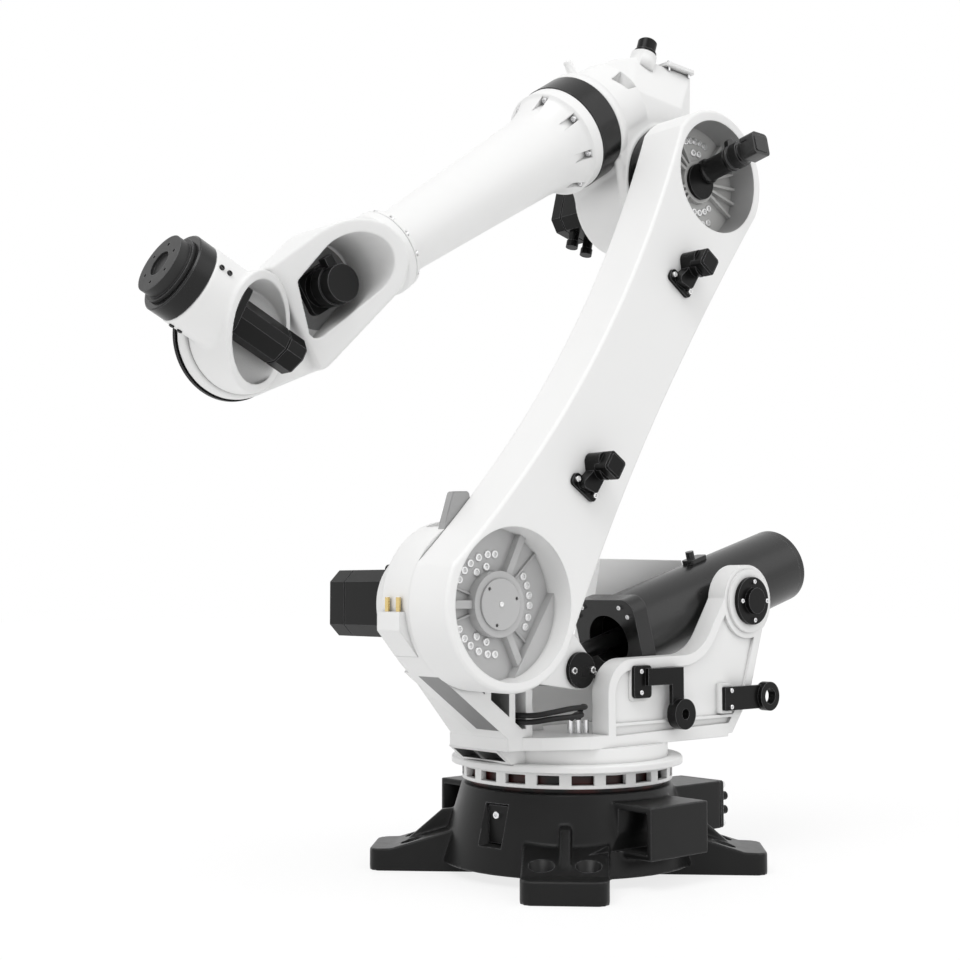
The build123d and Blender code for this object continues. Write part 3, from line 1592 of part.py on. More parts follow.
def wrist_outline():
    """Side outline of the wrist housing in the open sketch."""
    with Locations((wrist_rear, forearm_offset)):
        Circle(wrist_half_height)
    with Locations((994, 145), (1161, 99)):
        Circle(30)
    with Locations((wrist_reach, forearm_offset)):
        Circle(fork_radius)
    make_hull()


def pocket_outline():
    """Outline of the drive pocket in the open sketch."""
    with Locations((wrist_rear + 8, forearm_offset + 14)):
        Circle(pocket_rear_radius)
    with Locations((sweep_front - pocket_front_wall - 26, 300), (sweep_front - pocket_front_wall - 22, 200)):
        Circle(22)
    make_hull()


with BuildPart() as wrist_housing:
    with BuildSketch(side(elbow, forearm_pitch, rim_rear_y)):
        wrist_outline()
    extrude(amount=rim_rear_y - fork_near + fork_thickness)
    fillet(wrist_housing.faces().sort_by(Axis.Y)[0].edges(), 10)
    with BuildSketch(elbow_plane(wrist_flange_end - wrist_flange_thickness)):
        Circle(wrist_flange_radius)
    extrude(amount=wrist_flange_thickness)
    with BuildSketch(elbow_plane(wrist_flange_end - 1)):
        Circle(wrist_flange_radius - 12)
    extrude(amount=wrist_rear - wrist_flange_end)
    with BuildSketch(side(elbow, forearm_pitch, fork_near)):
        with Locations((sweep_front + 400, forearm_offset)):
            Rectangle(800, 900)
    extrude(amount=-400, mode=Mode.SUBTRACT)
    with BuildSketch(rim_plane):
        with Locations((350, forearm_offset)):
            Rectangle(700, 900)
    extrude(amount=300, mode=Mode.SUBTRACT)
    with BuildSketch(side(elbow, forearm_pitch, fork_near)):
        pocket_outline()
    extrude(amount=-400, mode=Mode.SUBTRACT)
    with BuildSketch(side(motor5_centre, 0, fork_near)):
        Circle(motor_shaft_radius * 0.6)
    extrude(amount=fork_thickness / 2, mode=Mode.SUBTRACT)
    with BuildSketch(side(wrist, 0, fork_near - fork_thickness)):
        Circle(hand_pin_radius + pin_gap)
    extrude(amount=-fork_thickness, mode=Mode.SUBTRACT)
    drill(wrist_places, wrist_screw, wrist_screw_length)
write_piece(wrist_housing.part, "wrist_housing")

write_piece(
    Compound(
        children=[
            *screw_group(wrist_places, wrist_screw, wrist_screw_length).solids(),
            *screw_group(flare_places, hub_screw, hub_screw_length).solids(),
        ]
    ),
    "forearm_bolts",
)

with BuildPart() as axis5_motor:
    with BuildSketch(motor5_seat):
        RectangleRounded(motor5_side, motor5_side, 16)
    extrude(amount=motor_flange_thickness)
    with BuildSketch(motor5_seat):
        Circle(motor5_radius)
    extrude(amount=motor5_length)
    with BuildSketch(motor5_seat.offset(motor5_length * 0.4)):
        Circle(motor5_radius + 4)
    extrude(amount=motor5_length * 0.3)
    with BuildSketch(motor5_seat.offset(motor5_length * 0.6)):
        with Locations((-8, -motor5_radius)):
            Rectangle(26, 50)
    extrude(amount=26)
    with BuildSketch(motor5_seat):
        Circle(motor_shaft_radius * 0.6 - seat_gap)
    extrude(amount=-fork_thickness / 2 + 2)
write_piece(axis5_motor.part, "axis5_motor")

with BuildPart() as axis5_cover:
    with BuildSketch(side(wrist, 0, fork_near - fork_thickness)):
        Circle(wrist_cover_radius)
    extrude(amount=wrist_cover_thickness)
    chamfer(axis5_cover.faces().sort_by(Axis.Y)[0].edges(), 3)
write_piece(axis5_cover.part, "axis5_cover")


# Hand

def hand_plane(distance):
    """Plane square to the sixth axis, at a distance from the wrist centre."""
    return axial(wrist, hand_pitch, distance)


hand_far = fork_near + turn_gap
hand_top = Plane(
    origin=(wrist[0], 0, wrist[1]),
    x_dir=(cosd(hand_pitch), 0, sind(hand_pitch)),
    z_dir=(-sind(hand_pitch), 0, cosd(hand_pitch)),
)
cut_slope = sind(hand_cut_angle) / cosd(hand_cut_angle)
cut_front = motor6_seat + neck_wall
neck_screw_places = [
    hand_plane(distance) * Rot(0, 0, azimuth) * Rot(0, 90, 0) * Pos(0, 0, neck_tube_radius - 4)
    for distance in (neck_tube_end - 16, neck_tube_end - 38)
    for azimuth in (20, 100, 260)
]

with BuildPart() as hand_casting:
    with BuildSketch(side(wrist, 0, hand_wing_y)):
        Circle(hand_radius)
    extrude(amount=hand_wing_y - hand_far)
    with BuildSketch(hand_plane(0)):
        Circle(neck_tube_radius)
    extrude(amount=neck_tube_end)
    with BuildSketch(side(wrist, hand_pitch, hand_far)):
        Rectangle(2 * neck_cut_reach, 4 * neck_tube_radius)
    extrude(amount=100, mode=Mode.SUBTRACT)
    with BuildSketch(hand_top):
        Polygon(
            (cut_front, hand_cut_near + cut_front * cut_slope),
            (cut_front, 400),
            (-400, 400),
            (-400, hand_cut_near - 400 * cut_slope),
            align=None,
        )
    extrude(amount=300, both=True, mode=Mode.SUBTRACT)
    with BuildSketch(side(wrist, hand_pitch, hand_far + hand_floor)):
        Circle(hand_radius - hand_wall)
        with Locations((motor6_seat + 200, 0)):
            Rectangle(400, 400, mode=Mode.SUBTRACT)
    extrude(amount=-300, mode=Mode.SUBTRACT)
    with BuildSketch(hand_plane(neck_tube_end)):
        Circle(gearbox6_radius + seat_gap)
    extrude(amount=-(neck_tube_end - cut_front), mode=Mode.SUBTRACT)
    with BuildSketch(hand_plane(neck_tube_end)):
        Circle(motor_shaft_radius)
    extrude(amount=-neck_tube_end + 40, mode=Mode.SUBTRACT)
    with BuildSketch(side(wrist, 0, hand_far)):
        Circle(hand_pin_radius)
    extrude(amount=fork_thickness - 2)
    for place in neck_screw_places:
        with BuildSketch(place):
            Circle(clamp_screw * 0.8 + hole_gap)
        extrude(amount=30, mode=Mode.SUBTRACT)
    drill(neck_screw_places, clamp_screw, clamp_screw_length)
write_piece(hand_casting.part, "hand_casting")

motor6_plane = axial(wrist, hand_pitch + 180, -motor6_seat)
axis6_motor = servo_motor(
    motor6_plane,
    motor6_width,
    motor6_height,
    motor6_seat - motor6_rear,
    motor_shaft_radius * 0.7,
    neck_wall + 14,
)
write_piece(axis6_motor, "axis6_motor")

with BuildPart() as axis6_gearbox:
    with BuildSketch(hand_plane(neck_tube_end)):
        Circle(gearbox6_radius)
    extrude(amount=-(neck_tube_end - cut_front))
    with BuildSketch(hand_plane(neck_tube_end)):
        Circle(roll_ring_radius)
    extrude(amount=roll_ring_thickness)
    chamfer(axis6_gearbox.faces().sort_by(Axis(hand_plane(0).origin, hand_plane(0).z_dir))[-1].edges(), 3)
    with BuildSketch(hand_plane(cut_front)):
        Circle(motor_shaft_radius * 0.7 + seat_gap)
    extrude(amount=16, mode=Mode.SUBTRACT)
    with BuildSketch(hand_plane(ring_face)):
        Circle(tool_spigot + turn_gap)
    extrude(amount=-tool_spigot_length - turn_gap, mode=Mode.SUBTRACT)
write_piece(axis6_gearbox.part, "axis6_gearbox")

write_piece(screw_group(neck_screw_places, clamp_screw, clamp_screw_length), "hand_screws")

with BuildPart() as tool_flange:
    with BuildSketch(hand_plane(ring_face + turn_gap)):
        Circle(tool_step_radius + 9)
    extrude(amount=8)
    with BuildSketch(hand_plane(ring_face + turn_gap)):
        Circle(tool_step_radius)
    extrude(amount=tool_step_thickness - turn_gap)
    with BuildSketch(hand_plane(ring_face + turn_gap)):
        Circle(tool_spigot)
    extrude(amount=-tool_spigot_length)
    with BuildSketch(hand_plane(tool_face)):
        Circle(tool_bore_radius)
    extrude(amount=-tool_bore_depth, mode=Mode.SUBTRACT)
    with BuildSketch(hand_plane(tool_face)):
        with PolarLocations(tool_bolt_radius, tool_bolt_count, start_angle=90):
            Circle(tool_bolt_hole)
    extrude(amount=-tool_bolt_depth, mode=Mode.SUBTRACT)
write_piece(tool_flange.part, "tool_flange")
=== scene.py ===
"""Studio picture of a heavy six-axis robot arm with a rear counterbalance."""

import math

import bmesh
import bpy
from mathutils import Matrix, Vector


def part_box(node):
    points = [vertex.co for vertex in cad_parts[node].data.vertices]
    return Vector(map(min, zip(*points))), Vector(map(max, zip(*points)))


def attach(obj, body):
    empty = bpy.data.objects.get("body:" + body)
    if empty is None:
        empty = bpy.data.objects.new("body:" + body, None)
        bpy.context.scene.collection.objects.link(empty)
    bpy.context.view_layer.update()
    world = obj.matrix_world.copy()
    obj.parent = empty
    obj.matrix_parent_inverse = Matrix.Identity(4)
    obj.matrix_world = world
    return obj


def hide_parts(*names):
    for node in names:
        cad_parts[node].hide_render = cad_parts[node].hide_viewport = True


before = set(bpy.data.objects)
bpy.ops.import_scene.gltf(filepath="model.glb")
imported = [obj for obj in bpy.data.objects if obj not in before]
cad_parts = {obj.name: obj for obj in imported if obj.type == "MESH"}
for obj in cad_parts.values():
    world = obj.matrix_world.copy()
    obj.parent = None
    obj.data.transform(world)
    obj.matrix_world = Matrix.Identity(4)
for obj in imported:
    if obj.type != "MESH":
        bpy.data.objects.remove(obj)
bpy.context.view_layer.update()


# Camera

def make_camera():
    data = bpy.data.cameras.new("camera")
    data.lens = 56.25
    data.sensor_width = 36
    data.clip_end = 100
    camera = bpy.data.objects.new("camera", data)
    bpy.context.scene.collection.objects.link(camera)
    camera.location = (2.842, 2.915, 0.734)
    camera.rotation_euler = (math.radians(90 + 4.194), 0, math.radians(139))
    bpy.context.scene.camera = camera


make_camera()


# Materials

def new_material(name):
    material = bpy.data.materials.new(name)
    material.use_nodes = True
    tree = material.node_tree
    return material, tree, tree.nodes["Principled BSDF"]


def math_node(tree, kind, first, second=None):
    node = tree.nodes.new("ShaderNodeMath")
    node.operation = kind
    for index, value in enumerate((first, second)):
        if value is None:
            continue
        if isinstance(value, (int, float)):
            node.inputs[index].default_value = value
        else:
            tree.links.new(value, node.inputs[index])
    return node.outputs[0]


def noise(tree, scale, detail=4, rough=0.6):
    coords = tree.nodes.new("ShaderNodeTexCoord")
    node = tree.nodes.new("ShaderNodeTexNoise")
    node.inputs["Scale"].default_value = scale
    node.inputs["Detail"].default_value = detail
    node.inputs["Roughness"].default_value = rough
    tree.links.new(coords.outputs["Object"], node.inputs["Vector"])
    return node.outputs["Fac"]


def ranged(tree, value, low, high, from_low=0.0, from_high=1.0):
    node = tree.nodes.new("ShaderNodeMapRange")
    node.inputs["From Min"].default_value = from_low
    node.inputs["From Max"].default_value = from_high
    node.inputs["To Min"].default_value = low
    node.inputs["To Max"].default_value = high
    tree.links.new(value, node.inputs["Value"])
    return node.outputs["Result"]


def mixed(tree, factor, first, second):
    node = tree.nodes.new("ShaderNodeMix")
    node.data_type = "RGBA"
    tree.links.new(factor, node.inputs[0])
    for socket, value in ((node.inputs[6], first), (node.inputs[7], second)):
        if isinstance(value, tuple):
            socket.default_value = (*value, 1)
        else:
            tree.links.new(value, socket)
    return node.outputs[2]


def soften(tree, shader, radius, bump_value=None, bump_strength=0.1, distance=0.0005):
    """Round the edges in the shading and add a fine surface grain."""
    bevel = tree.nodes.new("ShaderNodeBevel")
    bevel.samples = 4
    bevel.inputs["Radius"].default_value = radius
    if bump_value is None:
        tree.links.new(bevel.outputs["Normal"], shader.inputs["Normal"])
        return
    bump = tree.nodes.new("ShaderNodeBump")
    bump.inputs["Strength"].default_value = bump_strength
    bump.inputs["Distance"].default_value = distance
    tree.links.new(bump_value, bump.inputs["Height"])
    tree.links.new(bevel.outputs["Normal"], bump.inputs["Normal"])
    tree.links.new(bump.outputs["Normal"], shader.inputs["Normal"])


def edge_highlight(tree, radius, strength):
    """Painted highlight: up to the strength along outer edges, 0 on flats and in corners."""
    bevel = tree.nodes.new("ShaderNodeBevel")
    bevel.samples = 4
    bevel.inputs["Radius"].default_value = radius
    geometry = tree.nodes.new("ShaderNodeNewGeometry")
    across = tree.nodes.new("ShaderNodeVectorMath")
    across.operation = "DOT_PRODUCT"
    tree.links.new(bevel.outputs["Normal"], across.inputs[0])
    tree.links.new(geometry.outputs["Normal"], across.inputs[1])
    turn = ranged(tree, across.outputs["Value"], 1, 0, 0.80, 0.985)
    outer = ranged(tree, crevice(tree, 0.012), 0, 1, 0.35, 0.75)
    return math_node(tree, "MULTIPLY", math_node(tree, "MULTIPLY", turn, outer), strength)


def crevice(tree, distance):
    """0 deep in a corner, 1 in the open."""
    node = tree.nodes.new("ShaderNodeAmbientOcclusion")
    node.samples = 6
    node.inputs["Distance"].default_value = distance
    return node.outputs["AO"]


def inside_round(tree, centre, radius):
    """1 within a radius of a line along Y through centre (x, z), in object space."""
    coords = tree.nodes.new("ShaderNodeTexCoord")
    split = tree.nodes.new("ShaderNodeSeparateXYZ")
    tree.links.new(coords.outputs["Object"], split.inputs[0])
    across = math_node(tree, "SUBTRACT", split.outputs["X"], centre[0])
    rise = math_node(tree, "SUBTRACT", split.outputs["Z"], centre[1])
    across_square = math_node(tree, "MULTIPLY", across, across)
    rise_square = math_node(tree, "MULTIPLY", rise, rise)
    square = math_node(tree, "ADD", across_square, rise_square)
    return math_node(tree, "LESS_THAN", square, radius * radius)


def between(tree, axis, low, high):
    coords = tree.nodes.new("ShaderNodeTexCoord")
    split = tree.nodes.new("ShaderNodeSeparateXYZ")
    tree.links.new(coords.outputs["Object"], split.inputs[0])
    above = math_node(tree, "GREATER_THAN", split.outputs[axis], low)
    below = math_node(tree, "LESS_THAN", split.outputs[axis], high)
    return math_node(tree, "MULTIPLY", above, below)


# Painted shade: white paint turns this grey deep in corners and creases
CORNER_SHADE_GREY = (0.34, 0.34, 0.34)
# Painted highlight: dark paints turn this grey along outer edges
EDGE_HIGHLIGHT_GREY = (0.30, 0.30, 0.31)


def white_paint(name, masks=(), depth=0.02):
    """Satin white enamel with a faint orange peel, painted grey deep in corners as shade. Masked places are
    painted darker as the shade in recesses and pockets.
    """
    material, tree, shader = new_material(name)
    tone = mixed(tree, noise(tree, 3.0), (0.87, 0.87, 0.865), (0.90, 0.90, 0.895))
    for build in masks:
        mask, colour = build(tree)
        tone = mixed(tree, mask, tone, colour)
    # Painted shade: the colour goes grey where ambient occlusion finds a corner within the depth
    corner_shaded = mixed(tree, ranged(tree, crevice(tree, depth), 0, 1, 0.15, 0.75), CORNER_SHADE_GREY, tone)
    tree.links.new(corner_shaded, shader.inputs["Base Color"])
    tree.links.new(ranged(tree, noise(tree, 26), 0.34, 0.46), shader.inputs["Roughness"])
    soften(tree, shader, 0.004, noise(tree, 420, 2), 0.05, 0.0003)
    return material


def dark_paint(name, low, high, roughness, radius=0.003, grain=380.0, gloss=0.3, edge=0.5):
    """Satin black enamel, uneven in tone, with a painted highlight along its outer edges."""
    material, tree, shader = new_material(name)
    shader.inputs["Specular IOR Level"].default_value = gloss
    tone = mixed(tree, noise(tree, 9), (low,) * 3, (high,) * 3)
    # Painted highlight: outer edges are mixed towards a lighter grey, as strong as the edge value
    tone = mixed(tree, edge_highlight(tree, radius, edge), tone, EDGE_HIGHLIGHT_GREY)
    tree.links.new(tone, shader.inputs["Base Color"])
    uneven = ranged(tree, noise(tree, 40), roughness - 0.05, roughness + 0.07)
    tree.links.new(uneven, shader.inputs["Roughness"])
    soften(tree, shader, radius, noise(tree, grain, 3), 0.08, 0.0003)
    return material


def red_lined(name):
    """Near-black oiled steel with dark red patches in places."""
    material, tree, shader = new_material(name)
    patch = ranged(tree, noise(tree, 7, 2), 0, 1, 0.44, 0.58)
    tone = mixed(tree, patch, (0.007, 0.006, 0.006), (0.075, 0.009, 0.007))
    tree.links.new(tone, shader.inputs["Base Color"])
    tree.links.new(ranged(tree, noise(tree, 60), 0.25, 0.4), shader.inputs["Roughness"])
    shader.inputs["Specular IOR Level"].default_value = 0.3
    soften(tree, shader, 0.001)
    return material


def bright_metal(name, colour, roughness):
    material, tree, shader = new_material(name)
    tone = mixed(tree, noise(tree, 60), colour, tuple(value * 0.86 for value in colour))
    tree.links.new(tone, shader.inputs["Base Color"])
    shader.inputs["Metallic"].default_value = 1
    uneven = ranged(tree, noise(tree, 90), roughness - 0.04, roughness + 0.08)
    tree.links.new(uneven, shader.inputs["Roughness"])
    soften(tree, shader, 0.001)
    return material


SHOULDER = (0.45, 0.70)
ELBOW = (-0.307048, 1.865752)


def round_mask(centre, radius, far, near, colour):
    """Colours what lies in a round recess that is open towards +Y."""
    def build(tree):
        spread = inside_round(tree, centre, radius)
        inside = math_node(tree, "MULTIPLY", spread, between(tree, "Y", far, near))
        return inside, colour

    return build


def box_mask(low, high, colour):
    """Colours what lies between two corners."""
    def build(tree):
        sides = [between(tree, axis, low[index], high[index]) for index, axis in enumerate("XYZ")]
        return math_node(tree, "MULTIPLY", math_node(tree, "MULTIPLY", sides[0], sides[1]), sides[2]), colour

    return build


def arm_masks():
    # Painted shade: the shoulder and elbow recesses are painted grey, the wall of the elbow recess darker
    # grey
    shoulder_recess = round_mask(SHOULDER, 0.1836, 0.2, 0.279, (0.52, 0.52, 0.52))
    elbow_wall = round_mask(ELBOW, 0.158, 0.2, 0.2885, (0.36, 0.36, 0.36))
    elbow_recess = round_mask(ELBOW, 0.1546, 0.2, 0.279, (0.54, 0.54, 0.53))
    return shoulder_recess, elbow_wall, elbow_recess


def column_masks():
    # Painted shade: the pockets in the neck are dark grey, those under the chin darker still
    neck_pockets = box_mask((0.286, 0.0625, 0.389), (0.56, 0.1463, 0.6), (0.22, 0.22, 0.22))
    chin_pockets = box_mask((0.257, -0.0705, 0.3045), (0.34, 0.0945, 0.3295), (0.12, 0.12, 0.12))
    return neck_pockets, chin_pockets


white = white_paint("white_enamel")
arm_white = white_paint("arm_enamel", arm_masks())
column_white = white_paint("column_enamel", column_masks())
# Painted shade: the hub cover down in the shoulder recess is grey all over, like the recess floor
grey_cover = white_paint("cover_grey", [lambda tree: (between(tree, "Z", -9, 9), (0.52, 0.52, 0.52))])
# Each dark paint carries a painted edge highlight; its edge value, 0.5 where not given, sets how strong it
# is
base_black = dark_paint("base_black", 0.007, 0.011, 0.33, 0.005, 300, 0.2, 0.9)
fitting_black = dark_paint("fitting_black", 0.004, 0.007, 0.28, 0.002, 380, 0.15, 0.8)
band_black = dark_paint("band_black", 0.006, 0.010, 0.24)
motor_black = dark_paint("motor_black", 0.006, 0.010, 0.32, 0.003, 380, 0.16, 0.7)
barrel_black = dark_paint("barrel_black", 0.010, 0.014, 0.24, 0.003, 380, 0.4)
flange_black = dark_paint("flange_black", 0.020, 0.028, 0.42)
lug_grey = dark_paint("lug_grey", 0.34, 0.40, 0.45)
chrome = bright_metal("polished_steel", (0.86, 0.86, 0.87), 0.18)
steel = bright_metal("machined_steel", (0.50, 0.50, 0.51), 0.34)
brass = bright_metal("brass_bolt", (0.80, 0.62, 0.28), 0.25)
bearing_dark = red_lined("bearing_dark")
rubber = dark_paint("hose_rubber", 0.010, 0.014, 0.5)

MATERIALS = {
    white: "slew_ring elbow_casting elbow_cover forearm_tube wrist_housing hand_casting",
    arm_white: "link_arm_casting",
    column_white: "column_casting",
    grey_cover: "axis2_hub_cover",
    lug_grey: "hoist_lug",
    base_black: "base_casting base_inspection_cover connector_panel",
    fitting_black: "hose_saddle hose_ring_bracket upper_hose_clamp lower_hose_clamp hose_guide_tube"
    " hose_guide_clamp axis3_hub_cover trunnion_caps elbow_cap balancer_rod balancer_rod_end balancer_pin"
    " connector_glands hand_screws axis5_cover axis3_motor_plugs",
    band_black: "axis4_gearbox axis3_gearbox axis6_gearbox",
    motor_black: "axis1_motor axis2_motor axis3_motor axis5_motor axis6_motor",
    barrel_black: "balancer_barrel balancer_front_cap balancer_rear_cap balancer_valve",
    flange_black: "tool_flange",
    chrome: "link_arm_bolts arm_small_screws forearm_bolts column_screws balancer_cap_screws elbow_screws"
    " base_screws deck_sleeves",
    steel: "axis1_gearbox axis2_gearbox balancer_piston trunnion_pins slew_bearing_inner",
    bearing_dark: "slew_bearing_outer",
    brass: "levelling_bolts trunnion_bushes",
    rubber: "deck_hoses",
}
for material, names in MATERIALS.items():
    for name in names.split():
        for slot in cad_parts[name].material_slots:
            slot.material = material



# Modelling

def arm_place(centre, pitch):
    """Frame in the arm's plane: X along the pitch, Y across the arm, Z square to both."""
    return Matrix.Translation((centre[0], 0, centre[1])) @ Matrix.Rotation(-math.radians(pitch), 4, "Y")


def circle(centre, radius, count=96):
    angles = (2 * math.pi * step / count for step in range(count))
    return [(centre[0] + radius * math.cos(angle), centre[1] + radius * math.sin(angle)) for angle in angles]


def hull(*rounds):
    """Outline stretched round circles, each given as (centre, radius)."""
    points = sorted(point for centre, radius in rounds for point in circle(centre, radius))

    def chain(ordered):
        line = []
        for point in ordered:
            while len(line) > 1:
                first, last = line[-2], line[-1]
                run, rise = last[0] - first[0], last[1] - first[1]
                if run * (point[1] - first[1]) - rise * (point[0] - first[0]) > 0:
                    break
                line.pop()
            line.append(point)
        return line[:-1]

    return chain(points) + chain(reversed(points))


def skinned(rings):
    """Closed shape through rings of as many points each, with a face over both ends."""
    shape = bmesh.new()
    rings = [[shape.verts.new(point) for point in ring] for ring in rings]
    shape.faces.new(rings[0])
    shape.faces.new(rings[-1])
    for near, far in zip(rings, rings[1:]):
        for index in range(len(near)):
            after = (index + 1) % len(near)
            shape.faces.new((near[index], near[after], far[after], far[index]))
    bmesh.ops.recalc_face_normals(shape, faces=shape.faces)
    return shape


def prism(outline, low, high, across="Y"):
    """Closed shape between two faces square to an axis; the outline lies on the other two."""
    def spot(point, height):
        if across == "Y":
            return point[0], height, point[1]
        if across == "Z":
            return point[0], point[1], height
        return height, point[0], point[1]

    return skinned([[spot(point, height) for point in outline] for height in (low, high)])


def turned(profile, count=96):
    """Closed shape turned round X; the profile holds (x, radius) from one end to the other."""
    angles = [2 * math.pi * step / count for step in range(count)]
    return skinned([
        [(along, radius * math.cos(angle), radius * math.sin(angle)) for angle in angles]
        for along, radius in profile
    ])


HALF_TURN = Matrix.Rotation(math.radians(180), 4, "Z")
SCREW_SUNK = 0.004        # a head starts this far below what it sits on


def screw_head(radius, height):
    """Head of a socket screw that stands up along X from the origin."""
    rim, socket, depth = radius * 0.12, radius * 0.55, height * 0.45
    return turned([
        (-SCREW_SUNK, radius), (height - rim, radius), (height, radius - rim), (height, socket),
        (depth, socket * 0.96), (depth, 0.0002),
    ], 24)


def box(low, high):
    plan = [(low[0], low[2]), (high[0], low[2]), (high[0], high[2]), (low[0], high[2])]
    return prism(plan, low[1], high[1])


def solid(name, shape, place):
    """An object from a shape, which is freed."""
    mesh = bpy.data.meshes.new(name)
    shape.transform(place)
    shape.to_mesh(mesh)
    shape.free()
    piece = bpy.data.objects.new(name, mesh)
    bpy.context.scene.collection.objects.link(piece)
    return piece


def settle(piece):
    """Applies the piece's modifiers to its mesh."""
    graph = bpy.context.evaluated_depsgraph_get()
    old = piece.data
    mesh = bpy.data.meshes.new_from_object(piece.evaluated_get(graph))
    piece.modifiers.clear()
    piece.data = mesh
    bpy.data.meshes.remove(old)
    mesh.name = piece.name


def joined(piece, others, operation):
    """Unites, cuts or intersects the piece with the others, which are then removed."""
    for other in others:
        step = piece.modifiers.new("boolean", "BOOLEAN")
        step.operation = operation
        step.solver = "EXACT"
        step.object = other
    settle(piece)
    for other in others:
        bpy.data.objects.remove(other)


def rounded(piece, voxel, passes):
    """Fills the piece out as one casting and rounds its edges."""
    remesh = piece.modifiers.new("remesh", "REMESH")
    remesh.mode = "VOXEL"
    remesh.voxel_size = voxel
    remesh.use_smooth_shade = True
    smooth = piece.modifiers.new("smooth", "SMOOTH")
    smooth.factor = 0.5
    smooth.iterations = passes
    settle(piece)


def dress(piece, material, slot, body, *replaced):
    """Gives a piece its material, and says its body and the CAD nodes it stands for. The slot is not used.
    """
    piece.data.materials.clear()
    piece.data.materials.append(material)
    shape = bmesh.new()
    shape.from_mesh(piece.data)
    bmesh.ops.recalc_face_normals(shape, faces=shape.faces)
    shape.to_mesh(piece.data)
    shape.free()
    for face in piece.data.polygons:
        face.use_smooth = True
    if len(piece.data.polygons) < 40000:
        piece.data.set_sharp_from_angle(angle=math.radians(40))
    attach(piece, body)
    if replaced:
        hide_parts(*replaced)


def rounded_square(width, depth, corner, centre=(0, 0)):
    """Outline of a rectangle with round corners."""
    spots = []
    for quarter, (side_x, side_y) in enumerate(((1, 1), (-1, 1), (-1, -1), (1, -1))):
        for step in range(7):
            angle = math.radians(90 * quarter + 15 * step)
            spots.append((
                centre[0] + side_x * (width / 2 - corner) + corner * math.cos(angle),
                centre[1] + side_y * (depth / 2 - corner) + corner * math.sin(angle),
            ))
    return spots


def add_shape(whole, shape, place):
    """Puts a shape into a larger one and frees it."""
    shape.transform(place)
    mesh = bpy.data.meshes.new("step")
    shape.to_mesh(mesh)
    shape.free()
    whole.from_mesh(mesh)
    bpy.data.meshes.remove(mesh)


# Wrist housing

FOREARM_PITCH = -33.7
ROLL_RISE = 0.267         # from the elbow axis up to the roll axis
WRIST = (0.985032, 1.324973)
HAND_PITCH = 26
FORK_FAR = -0.121
FORK_NEAR = -0.085
BLOCK_NEAR = 0.142
BLOCK_FRONT = 1.230       # ahead of this only the fork plate goes on
FLANGE_REAR = 0.936
FLANGE_FRONT = 0.964
FLANGE_RADIUS = 0.107
BEYOND = 0.9              # past any part of the housing or the hand

forearm_frame = arm_place(ELBOW, FOREARM_PITCH)
roll_frame = forearm_frame @ Matrix.Translation((0, 0, ROLL_RISE))
# Rounds of the outline and of the pocket: centre in the forearm frame, radius
WRIST_REAR = ((1.085, 0.281), 0.118)
WRIST_BROW = ((1.222, 0.328), 0.046)
WRIST_CHIN = ((1.220, 0.129), 0.035)
WRIST_END = ((1.375, ROLL_RISE), 0.145)
POCKET = (((1.078, 0.283), 0.080), ((1.178, 0.305), 0.014), ((1.198, 0.187), 0.018))
# The slanted near face: along the forearm, across the arm
RIM_REAR = (0.967, 0.130)
RIM_FRONT = (1.230, -0.055)
RIM_SLOPE = (RIM_FRONT[1] - RIM_REAR[1]) / (RIM_FRONT[0] - RIM_REAR[0])


def above_rim(drop=0.0):
    """Everything on the near side of the slanted face."""
    start, end = 0.7, 1.6

    def side(along):
        return RIM_REAR[1] + (along - RIM_REAR[0]) * RIM_SLOPE - drop

    plan = [(start, side(start)), (end, side(end)), (end, BEYOND), (start, BEYOND)]
    return prism(plan, -0.3, BEYOND, "Z")


def make_wrist_housing():
    outline = hull(WRIST_REAR, WRIST_BROW, WRIST_CHIN)
    block = solid("wrist_shell", prism(outline, FORK_FAR, BLOCK_NEAR), forearm_frame)
    neck = solid("neck", turned([(FLANGE_FRONT - 0.01, 0.100), (1.085, 0.106)]), roll_frame)
    ahead = box((BLOCK_FRONT, FORK_NEAR, -0.3), (1.7, 0.5, BEYOND))
    cut = [solid("cut", above_rim(), forearm_frame), solid("cut", ahead, forearm_frame)]
    joined(neck, [solid("cut", above_rim(0.012), forearm_frame)], "DIFFERENCE")
    joined(block, cut, "DIFFERENCE")
    fork_outline = hull(WRIST_BROW, WRIST_CHIN, WRIST_END)
    fork = solid("fork", prism(fork_outline, FORK_FAR, FORK_NEAR), forearm_frame)
    joined(block, [neck, fork], "UNION")
    rounded(block, 0.0035, 22)
    pocket = solid("cut", prism(hull(*POCKET), FORK_NEAR, 0.3), forearm_frame)
    joined(block, [pocket], "DIFFERENCE")
    flange = turned([
        (FLANGE_REAR, 0.090), (FLANGE_REAR, 0.104), (FLANGE_REAR + 0.003, FLANGE_RADIUS),
        (FLANGE_FRONT, FLANGE_RADIUS), (FLANGE_FRONT + 0.012, 0.096),
    ])
    joined(block, [solid("flange", flange, roll_frame)], "UNION")
    rounded(block, 0.0025, 2)
    dress(block, wrist_white, "white_paint", "forearm", "wrist_housing")


def wrist_masks():
    """Painted shade: the floor of the pocket behind the wrist motor is nearly black."""
    spot = forearm_frame @ Vector((1.11, 0, 0.27))
    return [round_mask((spot.x, spot.z), 0.108, FORK_NEAR - 0.0015, FORK_NEAR + 0.007, (0.05, 0.05, 0.05))]


# Wrist and hand paint get painted corner shade that reaches 0.07 m into the pocket
wrist_white = white_paint("wrist_enamel", wrist_masks(), 0.07)
make_wrist_housing()


# Hand

